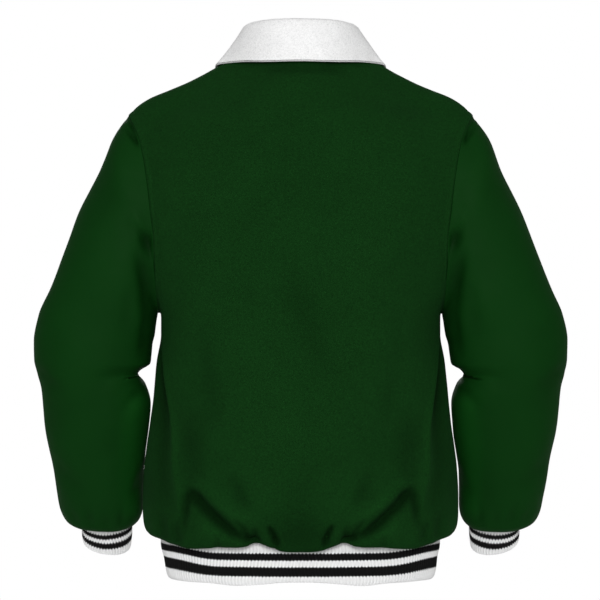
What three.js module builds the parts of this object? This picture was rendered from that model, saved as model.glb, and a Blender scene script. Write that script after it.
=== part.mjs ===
// Varsity jacket, worn shape with no wearer: melton body, smooth set-in sleeves, fold-over collar, striped rib waistband and cuffs, snap front.
// Millimetres, +Z up, the front faces -Y, the wearer's left is +X. The origin is between the shoulders, where the wearer carries the jacket.
import * as THREE from "three";

// ---------- driving sizes ----------
const CLOTH = 2.0; // wall of the body and sleeve cloth
const RIB = 3.0; // wall of the doubled rib knit
const COLLAR_PLY = 2.8; // two plies of collar melton
const SEAM_GAP = 0.3; // every seam
const TIP = { x: 223.6, z: -34 }; // shoulder tip
const PIT_Z = -290; // underarm point
const NECK = { half: 80, back: 66, front: 72, sideZ: 41, backRise: 3, frontDrop: 69, frontPower: 1.3 };
const SQUARE = 2.6; // squareness of the torso outline seen from above
const OVERLAP = 18; // the left front passes the centre by this much, and so does the right front under it
const STEP_IN = 3.8; // how far the under layer of the front lies behind the top layer
const SNAP = { r: 7.6, thick: 2.6, gap: 0.5 };
const COLS = 12; // columns from the centre line to the panel's edge
const NECK_COLS = 5; // of these, the ones that end in the neck seam
const PIT_ROWS = 12; // rows from the underarm to the shoulder tip

// Torso below the underarm, from the waistband seam upwards. The first rows are the cloth that blouses over the band and turns in under itself.
const TORSO = [
  { z: -571.7, half: 182.0, back: 113.5, front: 113.5, gather: 0 },
  { z: -573.5, half: 185.5, back: 117.0, front: 117.0, gather: 0.1 },
  { z: -583.0, half: 187.0, back: 119.5, front: 119.5, gather: 0.6 },
  { z: -590.0, half: 191.5, back: 125.0, front: 125.0, gather: 1 },
  { z: -588.0, half: 198.5, back: 131.0, front: 130.5, gather: 1 },
  { z: -576.0, half: 203.0, back: 134.5, front: 133.5, gather: 0.8 },
  { z: -552.0, half: 204.5, back: 135.0, front: 134.0, gather: 0.45 },
  { z: -522.0, half: 204.5, back: 134.0, front: 133.0, gather: 0.2 },
  { z: -490.0, half: 203.0, back: 131.0, front: 131.0, gather: 0 },
  { z: -460.0, half: 199.2, back: 128.0, front: 128.5, gather: 0 },
  { z: -428.0, half: 194.3, back: 124.5, front: 126.0, gather: 0 },
  { z: -392.0, half: 190.5, back: 121.0, front: 124.0, gather: 0 },
  { z: -352.0, half: 187.0, back: 118.5, front: 123.0, gather: 0 },
  { z: -318.0, half: 181.5, back: 117.5, front: 123.5, gather: 0 },
];

// Depth of the centre line from the side line, by height, above the underarm.
const BACK_LINE = [
  { z: -290, y: 118 }, { z: -180, y: 119 }, { z: -120, y: 117.5 }, { z: -80, y: 113 }, { z: -40, y: 104 },
  { z: -6, y: 91 }, { z: 21, y: 78 }, { z: 38, y: 68.5 }, { z: 44, y: 66 },
];
const FRONT_LINE = [
  { z: -290, y: 125 }, { z: -200, y: 126 }, { z: -146, y: 123 }, { z: -116, y: 117.5 }, { z: -87, y: 108 },
  { z: -63, y: 96 }, { z: -44, y: 84 }, { z: -32, y: 75 }, { z: -28, y: 72 },
];
// The shoulder seam, from the neck to the tip.
const SHOULDER = [
  { x: 80, z: 41 }, { x: 101, z: 33 }, { x: 127, z: 19.5 }, { x: 150, z: 8 }, { x: 170, z: -0.5 }, { x: 195, z: -11 }, { x: 210, z: -20.5 }, { x: 223.6, z: -34 },
];
// The armhole seam: distance from the centre by height, on the back and on the front, which is scooped more.
const ARMHOLE = [
  { z: -290, back: 181.5, front: 181.5 }, { z: -270, back: 184, front: 182 }, { z: -221, back: 187, front: 181 }, { z: -190, back: 188, front: 181.5 }, { z: -165, back: 191, front: 184 }, { z: -130, back: 195, front: 188 },
  { z: -97, back: 200, front: 194 }, { z: -71, back: 206, front: 202 }, { z: -52, back: 213.5, front: 211 }, { z: -34, back: 223.6, front: 223.6 },
];
const ARMHOLE_DEPTH = { back: 76, front: 80, power: 0.85 };
// How a row's outline changes from the underarm (0) to the shoulder and neck (1).
const OUTLINE = [
  { t: 0, bend: 2.6, round: 0.3846, reach: 1 }, { t: 0.09, bend: 2.6, round: 0.43, reach: 1 }, { t: 0.2, bend: 2.7, round: 0.58, reach: 1 }, { t: 0.36, bend: 2.9, round: 0.85, reach: 1 }, { t: 0.5, bend: 3.0, round: 1.0, reach: 1 },
  { t: 0.67, bend: 2.7, round: 1.3, reach: 1 }, { t: 0.75, bend: 2.4, round: 1.8, reach: 1 }, { t: 0.833, bend: 2, round: 2.8, reach: 0.82 }, { t: 0.917, bend: 2, round: 3, reach: 0.66 }, { t: 1, bend: 2, round: 3, reach: 0.6 },
];
// Gathers above the waistband: where the hem is pulled up, by how much, and how wide; and the rise of the hem away from the centre and at the sides.
const GATHERS = {
  back: [{ x: 53, lift: 7.5, wide: 15 }, { x: 138, lift: 1.5, wide: 20 }],
  front: [{ x: 72, lift: 6, wide: 20 }, { x: 150, lift: 2.5, wide: 20 }],
};
const HEM_RISE = { flank: 4.5, side: 13 };
// The long soft fold down each side of the back, by height: the turn round the outline in degrees where its ridge lies, the ridge's rise, and the sink of the trough just outside it.
const SIDE_FOLD = [
  { z: -570, turn: 43, rise: 0, sink: 0 }, { z: -540, turn: 43, rise: 1, sink: 1.5 }, { z: -495, turn: 47, rise: 2, sink: 3.5 }, { z: -445, turn: 51, rise: 2.5, sink: 5 },
  { z: -385, turn: 61, rise: 2, sink: 7 }, { z: -345, turn: 70, rise: 1, sink: 5 }, { z: -320, turn: 80, rise: 0, sink: 0 },
];
const FOLD_STEP = 9; // from ridge to trough
const FOLD_WIDE = 8; // half width of each

// Sleeve, from the armhole to the cuff seam, as the outer and inner edge of each section seen from behind, its place and half depth fore and aft, and how far it tips forward.
const SLEEVE = [
  { outX: 243, outZ: -62, inX: 184.2, inZ: -291, y: 1, deep: 79, tip: 0 },
  { outX: 262, outZ: -108, inX: 184.8, inZ: -294.5, y: 2, deep: 78, tip: 0 },
  { outX: 287, outZ: -160, inX: 185.8, inZ: -300, y: 3, deep: 76, tip: 0 },
  { outX: 307.5, outZ: -215, inX: 187.0, inZ: -308, y: 4, deep: 73, tip: 0 },
  { outX: 324, outZ: -257, inX: 188.6, inZ: -318, y: 4, deep: 70, tip: 0 },
  { outX: 340, outZ: -292, inX: 192.2, inZ: -330, y: 3, deep: 68, tip: 0 },
  { outX: 346, outZ: -325, inX: 194.0, inZ: -343, y: 2, deep: 67, tip: 0 },
  { outX: 345.5, outZ: -350, inX: 195.8, inZ: -355, y: 0, deep: 66, tip: 2 },
  { outX: 342.5, outZ: -367, inX: 213, inZ: -368, y: -3, deep: 65, tip: 4 },
  { outX: 337.5, outZ: -386, inX: 202.5, inZ: -384, y: -8, deep: 66, tip: 7 },
  { outX: 335.5, outZ: -410, inX: 196.3, inZ: -408, y: -15, deep: 65, tip: 10 },
  { outX: 333, outZ: -443, inX: 199.5, inZ: -441, y: -25, deep: 63, tip: 13 },
  { outX: 326.5, outZ: -483, inX: 204.3, inZ: -478, y: -37, deep: 60, tip: 16 },
  { outX: 320.5, outZ: -522, inX: 207.8, inZ: -517, y: -49, deep: 56, tip: 18 },
  { outX: 316, outZ: -546, inX: 208.8, inZ: -546, y: -58, deep: 52, tip: 19 },
  { outX: 309, outZ: -561, inX: 212.2, inZ: -560.5, y: -62, deep: 47, tip: 19 },
  { outX: 298, outZ: -567, inX: 218.2, inZ: -567.3, y: -64, deep: 40, tip: 19 },
  { outX: 292, outZ: -563.5, inX: 219, inZ: -564, y: -63, deep: 36, tip: 19 },
  { outX: 291, outZ: -553, inX: 219.2, inZ: -549.5, y: -59, deep: 34.8, tip: 19 },
  { outX: 287, outZ: -549.7, inX: 222, inZ: -546.2, y: -58, deep: 31.5, tip: 19 },
];
// Cuff, from its seam down. The end section tips further, so the cuff is longer at the back of the hand.
const CUFF = [
  { outX: 287, outZ: -550.3, inX: 222, inZ: -546.8, y: -58, deep: 31.5, tip: 19 },
  { outX: 287.5, outZ: -563, inX: 222.5, inZ: -561, y: -63, deep: 31.5, tip: 21 },
  { outX: 287.5, outZ: -576, inX: 221.5, inZ: -577, y: -68, deep: 31.5, tip: 26 },
  { outX: 285, outZ: -588, inX: 221, inZ: -593, y: -73, deep: 30, tip: 30 },
];
// Rib waistband, from its seam down.
const BAND = [
  { z: -572.3, half: 181.0, deep: 112.5, dip: 0 }, { z: -590, half: 180.5, deep: 113.5, dip: 0.1 }, { z: -604, half: 177.0, deep: 113.5, dip: 0.4 },
  { z: -617, half: 175.2, deep: 113.0, dip: 0.8 }, { z: -626, half: 173.0, deep: 112.0, dip: 1 }, { z: -630, half: 170.0, deep: 110.0, dip: 1 },
];
const BAND_DIP = { x: 80, wide: 40, deep: 5, side: 2.5 }; // the lower edge hangs lowest to each side of the centre
const BAND_COLS = 60;
// Collar by angle from the centre back: stand height and inward lean, then where the fold-over edge lies, as distance from the centre and height.
const COLLAR = [
  { angle: 0, stand: 40.5, lean: 8, edgeX: 0, edgeZ: 29 }, { angle: 30, stand: 40.5, lean: 8.5, edgeX: 54, edgeZ: 29 }, { angle: 60, stand: 39, lean: 9.5, edgeX: 96, edgeZ: 28 },
  { angle: 90, stand: 35, lean: 10, edgeX: 109, edgeZ: 27 }, { angle: 115, stand: 27, lean: 8, edgeX: 106, edgeZ: -5 }, { angle: 140, stand: 17, lean: 5, edgeX: 85, edgeZ: -42 },
  { angle: 160, stand: 9, lean: 2, edgeX: 59, edgeZ: -71 }, { angle: 176, stand: 5, lean: 0.5, edgeX: 38, edgeZ: -84 },
];
const COLLAR_STEPS = 22; // steps from the centre back to each front end
const COLLAR_LIFT = 4.6; // the fold-over edge's middle stands this far off the body
const SNAPS = [{ z: -52 }, { z: -140 }, { z: -228 }, { z: -316 }, { z: -404 }, { z: -492 }];
const BAND_SNAP_Z = -606;

// ---------- helpers ----------
const V = (x, y, z) => new THREE.Vector3(x, y, z);
const clamp01 = (v) => Math.min(1, Math.max(0, v));
const smooth = (v) => ((v = clamp01(v)), v * v * (3 - 2 * v));
const bell = (v) => Math.exp(-v * v);

// Monotone cubic through a named column of a table.
function column(table, key, value, name) {
  const n = table.length, x = (i) => table[i][key], y = (i) => table[i][name];
  if (value <= x(0)) return y(0);
  if (value >= x(n - 1)) return y(n - 1);
  let i = 0;
  while (value > x(i + 1)) i++;
  const slope = (k) => (y(k + 1) - y(k)) / (x(k + 1) - x(k));
  const tangent = (k) => {
    if (k === 0) return slope(0);
    if (k === n - 1) return slope(n - 2);
    const a = slope(k - 1), b = slope(k);
    return a * b <= 0 ? 0 : (2 * a * b) / (a + b);
  };
  const h = x(i + 1) - x(i), s = (value - x(i)) / h;
  const a = y(i), b = y(i + 1), ta = tangent(i) * h, tb = tangent(i + 1) * h;
  return a + ta * s + (3 * (b - a) - 2 * ta - tb) * s * s + (2 * (a - b) + ta + tb) * s * s * s;
}

// ---------- torso ----------
// side is +1 for the back, which faces +Y, and -1 for the front.
const word = (side) => (side > 0 ? "back" : "front");

function neckPoint(side, angle) {
  const c = Math.cos(angle), deep = side > 0 ? NECK.back : NECK.front;
  const z = side > 0 ? NECK.sideZ + NECK.backRise * c : NECK.sideZ - NECK.frontDrop * Math.pow(Math.max(0, c), NECK.frontPower);
  return V(NECK.half * Math.sin(angle), side * deep * c, z);
}

// Top edge of a half panel: columns 0 to NECK_COLS on the neck seam, the rest on the shoulder seam.
function topPoint(side, i) {
  if (i <= NECK_COLS) return neckPoint(side, ((i / NECK_COLS) * Math.PI) / 2);
  const x = NECK.half + ((i - NECK_COLS) / (COLS - NECK_COLS)) * (TIP.x - NECK.half);
  return V(x, 0, column(SHOULDER, "x", x, "z"));
}

function hemLift(side, x, gather) {
  let dz = 0;
  for (const g of GATHERS[word(side)]) dz += g.lift * bell((Math.abs(x) - g.x) / g.wide);
  return gather * (dz + HEM_RISE.flank * smooth((Math.abs(x) - 15) / 50) + HEM_RISE.side * Math.pow(Math.abs(x) / 205, 5));
}

function sideFold(side, phi, z) {
  if (side < 0) return 0;
  const at = (name) => column(SIDE_FOLD, "z", z, name), turn = THREE.MathUtils.radToDeg(phi), off = turn - at("turn");
  return smooth((90 - turn) / 10) * (at("rise") * bell(off / FOLD_WIDE) - at("sink") * bell((off - FOLD_STEP) / FOLD_WIDE));
}

// A point of the half panel: row 0 is the waistband seam; TORSO.length is the underarm; TORSO.length + PIT_ROWS is the top edge. i is the column.
function torsoPoint(side, row, i) {
  const phi = ((i / COLS) * Math.PI) / 2, across = Math.pow(Math.sin(phi), 2 / SQUARE);
  if (row < TORSO.length) {
    const r = TORSO[row], x = r.half * across, fold = sideFold(side, phi, r.z);
    const y = r[word(side)] * Math.pow(Math.max(0, Math.cos(phi)), 2 / SQUARE);
    return V(x + fold * Math.sin(phi), side * (y + fold * Math.cos(phi)), r.z + hemLift(side, x, r.gather));
  }
  const t = (row - TORSO.length) / PIT_ROWS;
  const edgeZ = (PIT_Z + TIP.z) / 2 - ((TIP.z - PIT_Z) / 2) * Math.cos(Math.PI * t);
  const edgeX = column(ARMHOLE, "z", edgeZ, word(side));
  const edgeY = ARMHOLE_DEPTH[word(side)] * Math.pow(Math.sin(Math.PI * t), ARMHOLE_DEPTH.power) * (t > 0 && t < 1 ? 1 : 0);
  const up = clamp01((edgeZ - PIT_Z) / (TIP.z - PIT_Z)), w = 0.5 * Math.pow(up, 1.5) + 0.5 * Math.pow(up, 25);
  const top = topPoint(side, i), middle = topPoint(side, 0);
  if (t >= 1) return top;
  const x = edgeX * ((1 - w) * across + (w * top.x) / TIP.x);
  const z = edgeZ + w * (top.z - TIP.z), middleZ = edgeZ + w * (middle.z - TIP.z);
  const deep = column(side > 0 ? BACK_LINE : FRONT_LINE, "z", middleZ, "y");
  const o = { bend: column(OUTLINE, "t", t, "bend"), round: column(OUTLINE, "t", t, "round"), reach: column(OUTLINE, "t", t, "reach") };
  const share = Math.pow(Math.max(0, 1 - Math.pow(Math.min(1, x / (edgeX * o.reach)), o.bend)), o.round);
  // Near the underarm the armhole's own depth reaches only the cloth next to it; higher up it carries the whole row.
  const carry = smooth(t / 0.35), near = (1 - share) * carry + Math.pow(Math.min(1, x / edgeX), 12) * (1 - carry);
  return V(x, side * (deep * share + edgeY * near), z);
}

const ROWS = TORSO.length + PIT_ROWS + 1;
const flip = (p) => V(-p.x, p.y, p.z);

// The full back, from the wearer's right edge to the left one.
const backGrid = Array.from({ length: ROWS }, (_, r) => Array.from({ length: 2 * COLS + 1 }, (_, k) => (k < COLS ? flip(torsoPoint(1, r, COLS - k)) : torsoPoint(1, r, k - COLS))));

// A front panel as built on the +X side: from past the centre to the armhole edge. The point past the centre is taken between the mirrored columns.
function frontRow(r) {
  const pts = Array.from({ length: COLS + 1 }, (_, i) => torsoPoint(-1, r, i));
  const first = pts[1], past = OVERLAP / first.x;
  const end = past <= 1 ? pts[0].clone().lerp(flip(first), past) : flip(first).lerp(flip(pts[2]), (OVERLAP - first.x) / (pts[2].x - first.x));
  return [end, ...pts];
}
const frontGrid = Array.from({ length: ROWS }, (_, r) => frontRow(r));

// ---------- sleeve ----------
const RING = 2 * PIT_ROWS; // points round a sleeve
// The armhole seam from the shoulder tip down the back, through the underarm and up the front.
const armhole = [
  ...Array.from({ length: PIT_ROWS + 1 }, (_, k) => torsoPoint(1, ROWS - 1 - k, COLS)),
  ...Array.from({ length: PIT_ROWS - 1 }, (_, k) => torsoPoint(-1, TORSO.length + 1 + k, COLS)),
];
function section(s) {
  const middle = V((s.outX + s.inX) / 2, s.y, (s.outZ + s.inZ) / 2), out = V((s.outX - s.inX) / 2, 0, (s.outZ - s.inZ) / 2);
  const tip = THREE.MathUtils.degToRad(s.tip), aft = V(0, Math.cos(tip) * s.deep, -Math.sin(tip) * s.deep);
  return Array.from({ length: RING }, (_, k) => {
    const a = (k / RING) * 2 * Math.PI, c = Math.cos(a), d = Math.sin(a), e = 2 / 2.25;
    return middle.clone().addScaledVector(out, Math.sign(c) * Math.pow(Math.abs(c), e)).addScaledVector(aft, Math.sign(d) * Math.pow(Math.abs(d), e));
  });
}
const sleeveGrid = [armhole, ...SLEEVE.map(section)];
const cuffGrid = CUFF.map(section);

// ---------- waistband ----------
function bandPoint(b, share) {
  // share runs from the left front's edge round the wearer's left side and back to the right front's edge, which lies under.
  const lap = Math.asin(Math.pow(OVERLAP / b.half, SQUARE / 2)), a = -lap + share * (2 * Math.PI + 2 * lap), s = Math.sin(a), c = Math.cos(a);
  const p = V(b.half * Math.sign(s) * Math.pow(Math.abs(s), 2 / SQUARE), -b.deep * Math.sign(c) * Math.pow(Math.abs(c), 2 / SQUARE), b.z);
  const under = share > 0.75 ? smooth((p.x + 62) / 36) : 0;
  p.y += under * STEP_IN;
  p.z -= b.dip * (BAND_DIP.deep * bell((Math.abs(p.x) - BAND_DIP.x) / BAND_DIP.wide) + BAND_DIP.side * smooth((Math.abs(p.x) - 100) / 50));
  return p;
}
const bandGrid = BAND.map((b) => Array.from({ length: BAND_COLS + 1 }, (_, k) => bandPoint(b, k / BAND_COLS)));

// ---------- closed walls from grids ----------
function surface(grid, round) {
  const rows = grid.length, cols = grid[0].length, at = (r, c) => r * cols + (c % cols), tris = [], pts = grid.flat().map((p) => p.clone());
  for (let r = 0; r + 1 < rows; r++)
    for (let c = 0; c + (round ? 0 : 1) < cols; c++) {
      const a = at(r, c), b = at(r, c + 1), d = at(r + 1, c), e = at(r + 1, c + 1);
      if (pts[a].distanceTo(pts[e]) < pts[b].distanceTo(pts[d])) tris.push([a, b, e], [a, e, d]);
      else tris.push([a, b, d], [b, e, d]);
    }
  const good = tris.filter(([a, b, c]) => pts[a].distanceTo(pts[b]) > 1e-4 && pts[b].distanceTo(pts[c]) > 1e-4 && pts[a].distanceTo(pts[c]) > 1e-4);
  return { pts, tris: good, rows, cols, round };
}
function normals(s) {
  const n = s.pts.map(() => V(0, 0, 0));
  for (const [a, b, c] of s.tris) {
    const f = s.pts[b].clone().sub(s.pts[a]).cross(s.pts[c].clone().sub(s.pts[a]));
    for (const k of [a, b, c]) n[k].add(f);
  }
  return n.map((v) => v.normalize());
}
// Seams share one direction, so that two walls meet there in a mitre. At the underarm the two walls lie back to back, and each keeps its own direction.
const sharedNormals = new Map();
const place = (p) => [p.x, p.y, p.z].map((v) => Math.round(v * 100)).join();
function share(s) {
  s.own = normals(s);
  s.pts.forEach((p, k) => {
    const at = place(p);
    if (!sharedNormals.has(at)) sharedNormals.set(at, V(0, 0, 0));
    sharedNormals.get(at).add(s.own[k]);
  });
}
// Draws each border back by half the seam gap.
function trimmed(s) {
  const { rows, cols, round } = s, moved = s.pts.map((p) => p.clone());
  const pull = (k, to) => moved[k].addScaledVector(s.pts[to].clone().sub(s.pts[k]).normalize(), SEAM_GAP / 2 + 0.05);
  for (let c = 0; c < cols; c++) {
    pull(c, cols + c);
    pull((rows - 1) * cols + c, (rows - 2) * cols + c);
  }
  if (!round) for (let r = 0; r < rows; r++) {
    pull(r * cols, r * cols + 1);
    pull(r * cols + cols - 1, r * cols + cols - 2);
  }
  return moved;
}
function wall(s, outward, inward, push = () => 0) {
  const moved = trimmed(s), count = s.pts.length, position = [], index = [];
  const direction = s.pts.map((p, k) => {
    const own = s.own[k], n = (sharedNormals.get(place(p)) || own).clone().normalize(), agree = n.dot(own), mitre = smooth((agree - 0.6) / 0.2);
    return own.clone().multiplyScalar(1 - mitre).addScaledVector(n, mitre / Math.max(0.6, agree));
  });
  for (const layer of [outward, -inward]) moved.forEach((p, k) => position.push(...p.clone().addScaledVector(direction[k], layer).addScaledVector(s.own[k], -push(s.pts[k])).toArray()));
  const edges = new Set();
  for (const [a, b, c] of s.tris) {
    index.push(a, b, c, a + count, c + count, b + count);
    for (const [p, q] of [[a, b], [b, c], [c, a]]) edges.add(p + "," + q);
  }
  for (const e of edges) {
    const [p, q] = e.split(",").map(Number);
    if (!edges.has(q + "," + p)) index.push(q, p, p + count, q, p + count, q + count);
  }
  return geometry(position, index);
}
function geometry(position, index) {
  let volume = 0;
  const p = (k) => V(position[3 * k], position[3 * k + 1], position[3 * k + 2]);
  for (let i = 0; i < index.length; i += 3) volume += p(index[i]).dot(p(index[i + 1]).cross(p(index[i + 2])));
  if (volume < 0) for (let i = 0; i < index.length; i += 3) [index[i + 1], index[i + 2]] = [index[i + 2], index[i + 1]];
  return new THREE.BufferGeometry().setAttribute("position", new THREE.Float32BufferAttribute(position, 3)).setIndex(index);
}
const mirrored = (grid) => grid.map((row) => row.map(flip).reverse());
const mirroredRing = (grid) => grid.map((row) => row.map((_, k) => flip(row[(row.length - k) % row.length])));

const back = surface(backGrid, false), frontLeft = surface(frontGrid, false), frontRight = surface(mirrored(frontGrid), false);
const sleeveLeft = surface(sleeveGrid, true), sleeveRight = surface(mirroredRing(sleeveGrid), true);
const cuffLeft = surface(cuffGrid, true), cuffRight = surface(mirroredRing(cuffGrid), true);
const band = surface(bandGrid, false);
// Each surface is wound so that its own directions point out of the garment.
function outwards(s, inside) {
  const n = normals(s);
  let sum = 0;
  s.pts.forEach((p, k) => (sum += n[k].dot(p.clone().sub(inside(p)))));
  if (sum < 0) s.tris = s.tris.map(([a, b, c]) => [a, c, b]);
}
const axisOfBody = (p) => V(p.x * 0.2, 0, p.z);
const axisOfArm = (side) => (p) => V(side * 262, p.z < -380 ? (p.z + 380) * 0.33 : 0, p.z);
for (const s of [back, frontLeft, frontRight, band]) outwards(s, axisOfBody);
for (const s of [sleeveLeft, cuffLeft]) outwards(s, axisOfArm(1));
for (const s of [sleeveRight, cuffRight]) outwards(s, axisOfArm(-1));
for (const s of [back, frontLeft, frontRight, sleeveLeft, sleeveRight, cuffLeft, cuffRight, band]) share(s);

// The right front goes behind the left one near the centre.
const underStep = (p) => STEP_IN * smooth((p.x + 62) / 36);

// ---------- collar ----------
// The body's outside near the neck, as small patches with their directions.
function patches(side) {
  const grid = side > 0 ? backGrid : frontGrid, first = side > 0 ? COLS : 1, list = [];
  for (let r = TORSO.length + 4; r + 1 < ROWS; r++)
    for (let i = first; i < first + COLS; i++) {
      const a = grid[r][i], b = grid[r][i + 1], c = grid[r + 1][i], d = grid[r + 1][i + 1];
      const n = b.clone().sub(c).cross(d.clone().sub(a));
      n.multiplyScalar((n.dot(V(0.2, side, 0.6)) < 0 ? -1 : 1) / n.length());
      for (let u = 0.125; u < 1; u += 0.25) for (let v = 0.125; v < 1; v += 0.25) list.push({ p: a.clone().lerp(b, u).lerp(c.clone().lerp(d, u), v), n });
    }
  return list;
}
const body = { back: patches(1), front: patches(-1) };
// Height of a point over the body, and the direction out of it, from the nearest patches.
function offBody(p) {
  const near = [...body.back, ...body.front].map((q) => ({ ...q, far: p.distanceTo(q.p) })).sort((a, b) => a.far - b.far).slice(0, 5), n = V(0, 0, 0);
  let gap = 0, sum = 0;
  for (const q of near) {
    const w = 1 / Math.pow(q.far + 1, 3);
    n.addScaledVector(q.n, w);
    gap += w * p.clone().sub(q.p).dot(q.n);
    sum += w;
  }
  return { n: n.normalize(), gap: gap / sum };
}
function bodyAt(side, x, z) {
  return body[word(side)].reduce((best, q) => (Math.hypot(q.p.x - x, q.p.z - z) < Math.hypot(best.p.x - x, best.p.z - z) ? q : best));
}
function collarSection(share) {
  const degrees = share * 176, side = degrees <= 90 ? 1 : -1, a = THREE.MathUtils.degToRad(degrees);
  const seam = neckPoint(side, side > 0 ? a : Math.PI - a);
  const out = V(Math.sin(a) * NECK.back, Math.cos(a) * NECK.half, 0).normalize();
  const c = { stand: column(COLLAR, "angle", degrees, "stand"), lean: column(COLLAR, "angle", degrees, "lean"), x: column(COLLAR, "angle", degrees, "edgeX"), z: column(COLLAR, "angle", degrees, "edgeZ") };
  const foot = seam.clone().addScaledVector(V(0, 0, 1), COLLAR_PLY * 0.2 + SEAM_GAP).addScaledVector(out, -COLLAR_PLY / 2 - 0.3);
  const fold = seam.clone().add(V(0, 0, c.stand)).addScaledVector(out, -c.lean);
  const radius = Math.min(4.2, c.stand * 0.42 + 0.6);
  const on = bodyAt(side, c.x, c.z), edge = V(c.x, on.p.y, c.z).addScaledVector(on.n, COLLAR_LIFT);
  const shoulder = fold.clone().addScaledVector(out, radius * 2).add(V(0, 0, -radius * 0.9));
  const full = 6 - 5 * bell((degrees - 85) / 32), bulge = fold.clone().lerp(edge, 0.5).addScaledVector(out, full).add(V(0, 0, full));
  const points = [foot, foot.clone().lerp(fold, 0.5), fold.clone().add(V(0, 0, -radius)), fold.clone().addScaledVector(out, radius * 0.8).add(V(0, 0, 0.35 * radius)), shoulder];
  for (let k = 1; k <= 6; k++) {
    const t = k / 6, p = shoulder.clone().multiplyScalar((1 - t) * (1 - t)).addScaledVector(bulge, 2 * t * (1 - t)).addScaledVector(edge, t * t);
    for (let turn = 0; turn < 5; turn++) {
      const { n, gap } = offBody(p);
      if (gap < COLLAR_LIFT + 1) p.addScaledVector(n, COLLAR_LIFT + 1 - gap);
    }
    points.push(p);
  }
  return points;
}
const collarHalf = Array.from({ length: COLLAR_STEPS + 1 }, (_, k) => collarSection(k / COLLAR_STEPS));
const collarGrid = [...collarHalf.slice(1).reverse().map((row) => row.map(flip)), ...collarHalf];
const collar = surface(collarGrid, false);
collar.own = normals(collar);

// ---------- the group ----------
const melton = new THREE.MeshStandardMaterial({ color: 0x10331a, roughness: 0.95, metalness: 0 });
const smoothCloth = new THREE.MeshStandardMaterial({ color: 0x103412, roughness: 0.6, metalness: 0 });
const whiteMelton = new THREE.MeshStandardMaterial({ color: 0xeeeeee, roughness: 0.95, metalness: 0 });
const ribKnit = new THREE.MeshStandardMaterial({ color: 0xe9e9e9, roughness: 0.9, metalness: 0 });
const snapWhite = new THREE.MeshStandardMaterial({ color: 0xf2f2f2, roughness: 0.35, metalness: 0 });

const jacket = new THREE.Group();
function add(name, shape, material) {
  const mesh = new THREE.Mesh(shape, material);
  mesh.name = name;
  jacket.add(mesh);
  return mesh;
}
add("back", wall(back, 0, CLOTH), melton);
add("front_left", wall(frontLeft, 0, CLOTH), melton);
add("front_right", wall(frontRight, 0, CLOTH, underStep), melton);
add("sleeve_left", wall(sleeveLeft, 0, CLOTH), smoothCloth);
add("sleeve_right", wall(sleeveRight, 0, CLOTH), smoothCloth);
add("cuff_left", wall(cuffLeft, 0, RIB), ribKnit);
add("cuff_right", wall(cuffRight, 0, RIB), ribKnit);
add("waistband", wall(band, 0, RIB), ribKnit);
add("collar", wall(collar, COLLAR_PLY / 2, COLLAR_PLY / 2), whiteMelton);

// Snap caps: domed discs on the top layer of the front, square to the cloth.
function snapShape() {
  const { r, thick } = SNAP;
  const profile = [[0, 0], [r, 0], [r, 0.45 * thick], [r * 0.93, 0.78 * thick], [r * 0.72, 0.95 * thick], [0, thick]].map(([x, y]) => new THREE.Vector2(x, y));
  return new THREE.LatheGeometry(profile, 20);
}
function centreFront(z) {
  const line = frontGrid.map((row) => row[1]);
  for (let r = 4; r + 1 < line.length; r++)
    if (line[r].z <= z && line[r + 1].z >= z) {
      const p = line[r].clone().lerp(line[r + 1], (z - line[r].z) / (line[r + 1].z - line[r].z)), along = line[r + 1].clone().sub(line[r]).normalize();
      return { p, n: V(0, -along.z, along.y) };
    }
}
function addSnap(number, at) {
  const cap = add("snap_" + number, snapShape(), snapWhite);
  cap.position.copy(at.p).addScaledVector(at.n, SNAP.gap);
  cap.quaternion.setFromUnitVectors(V(0, 1, 0), at.n);
}
SNAPS.forEach((s, k) => addSnap(k + 1, centreFront(s.z)));
addSnap(SNAPS.length + 1, { p: V(0, -column([...BAND].reverse(), "z", BAND_SNAP_Z, "deep"), BAND_SNAP_Z), n: V(0, -1, 0) });

export default jacket;
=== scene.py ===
# Varsity jacket, worn shape with nobody in it: the looks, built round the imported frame.
# Metres, +Z up, the front faces -Y, the wearer's left is +X. Tables below are in millimetres.
import math
import bpy
import numpy as np
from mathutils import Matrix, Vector


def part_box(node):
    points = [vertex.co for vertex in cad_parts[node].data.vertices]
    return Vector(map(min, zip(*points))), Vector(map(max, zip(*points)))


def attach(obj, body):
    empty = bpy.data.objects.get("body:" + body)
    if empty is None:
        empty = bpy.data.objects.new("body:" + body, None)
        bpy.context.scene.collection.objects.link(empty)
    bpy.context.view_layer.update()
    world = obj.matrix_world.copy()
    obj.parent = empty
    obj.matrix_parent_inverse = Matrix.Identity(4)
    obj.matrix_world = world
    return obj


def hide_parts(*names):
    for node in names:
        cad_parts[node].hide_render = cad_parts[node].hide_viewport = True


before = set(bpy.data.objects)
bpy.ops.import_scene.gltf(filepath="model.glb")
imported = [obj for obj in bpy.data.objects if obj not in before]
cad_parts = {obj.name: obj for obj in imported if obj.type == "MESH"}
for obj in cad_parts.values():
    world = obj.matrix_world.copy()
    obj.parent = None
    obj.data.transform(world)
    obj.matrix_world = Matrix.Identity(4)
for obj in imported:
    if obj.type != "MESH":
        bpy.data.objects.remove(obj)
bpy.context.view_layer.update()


MM = 0.001

# ---------- driving sizes, as in the frame ----------
CLOTH = 2.0
RIB = 3.0
COLLAR_PLY = 2.8
SEAM_GAP = 0.3
TIP_X, TIP_Z = 223.6, -34.0
PIT_Z = -290.0
NECK = dict(half=80.0, back=66.0, front=72.0, sideZ=41.0, backRise=3.0, frontDrop=69.0, frontPower=1.3)
SQUARE = 2.6
OVERLAP = 18.0
STEP_IN = 3.8
COLS, NECK_COLS, PIT_ROWS = 12, 5, 12

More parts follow.
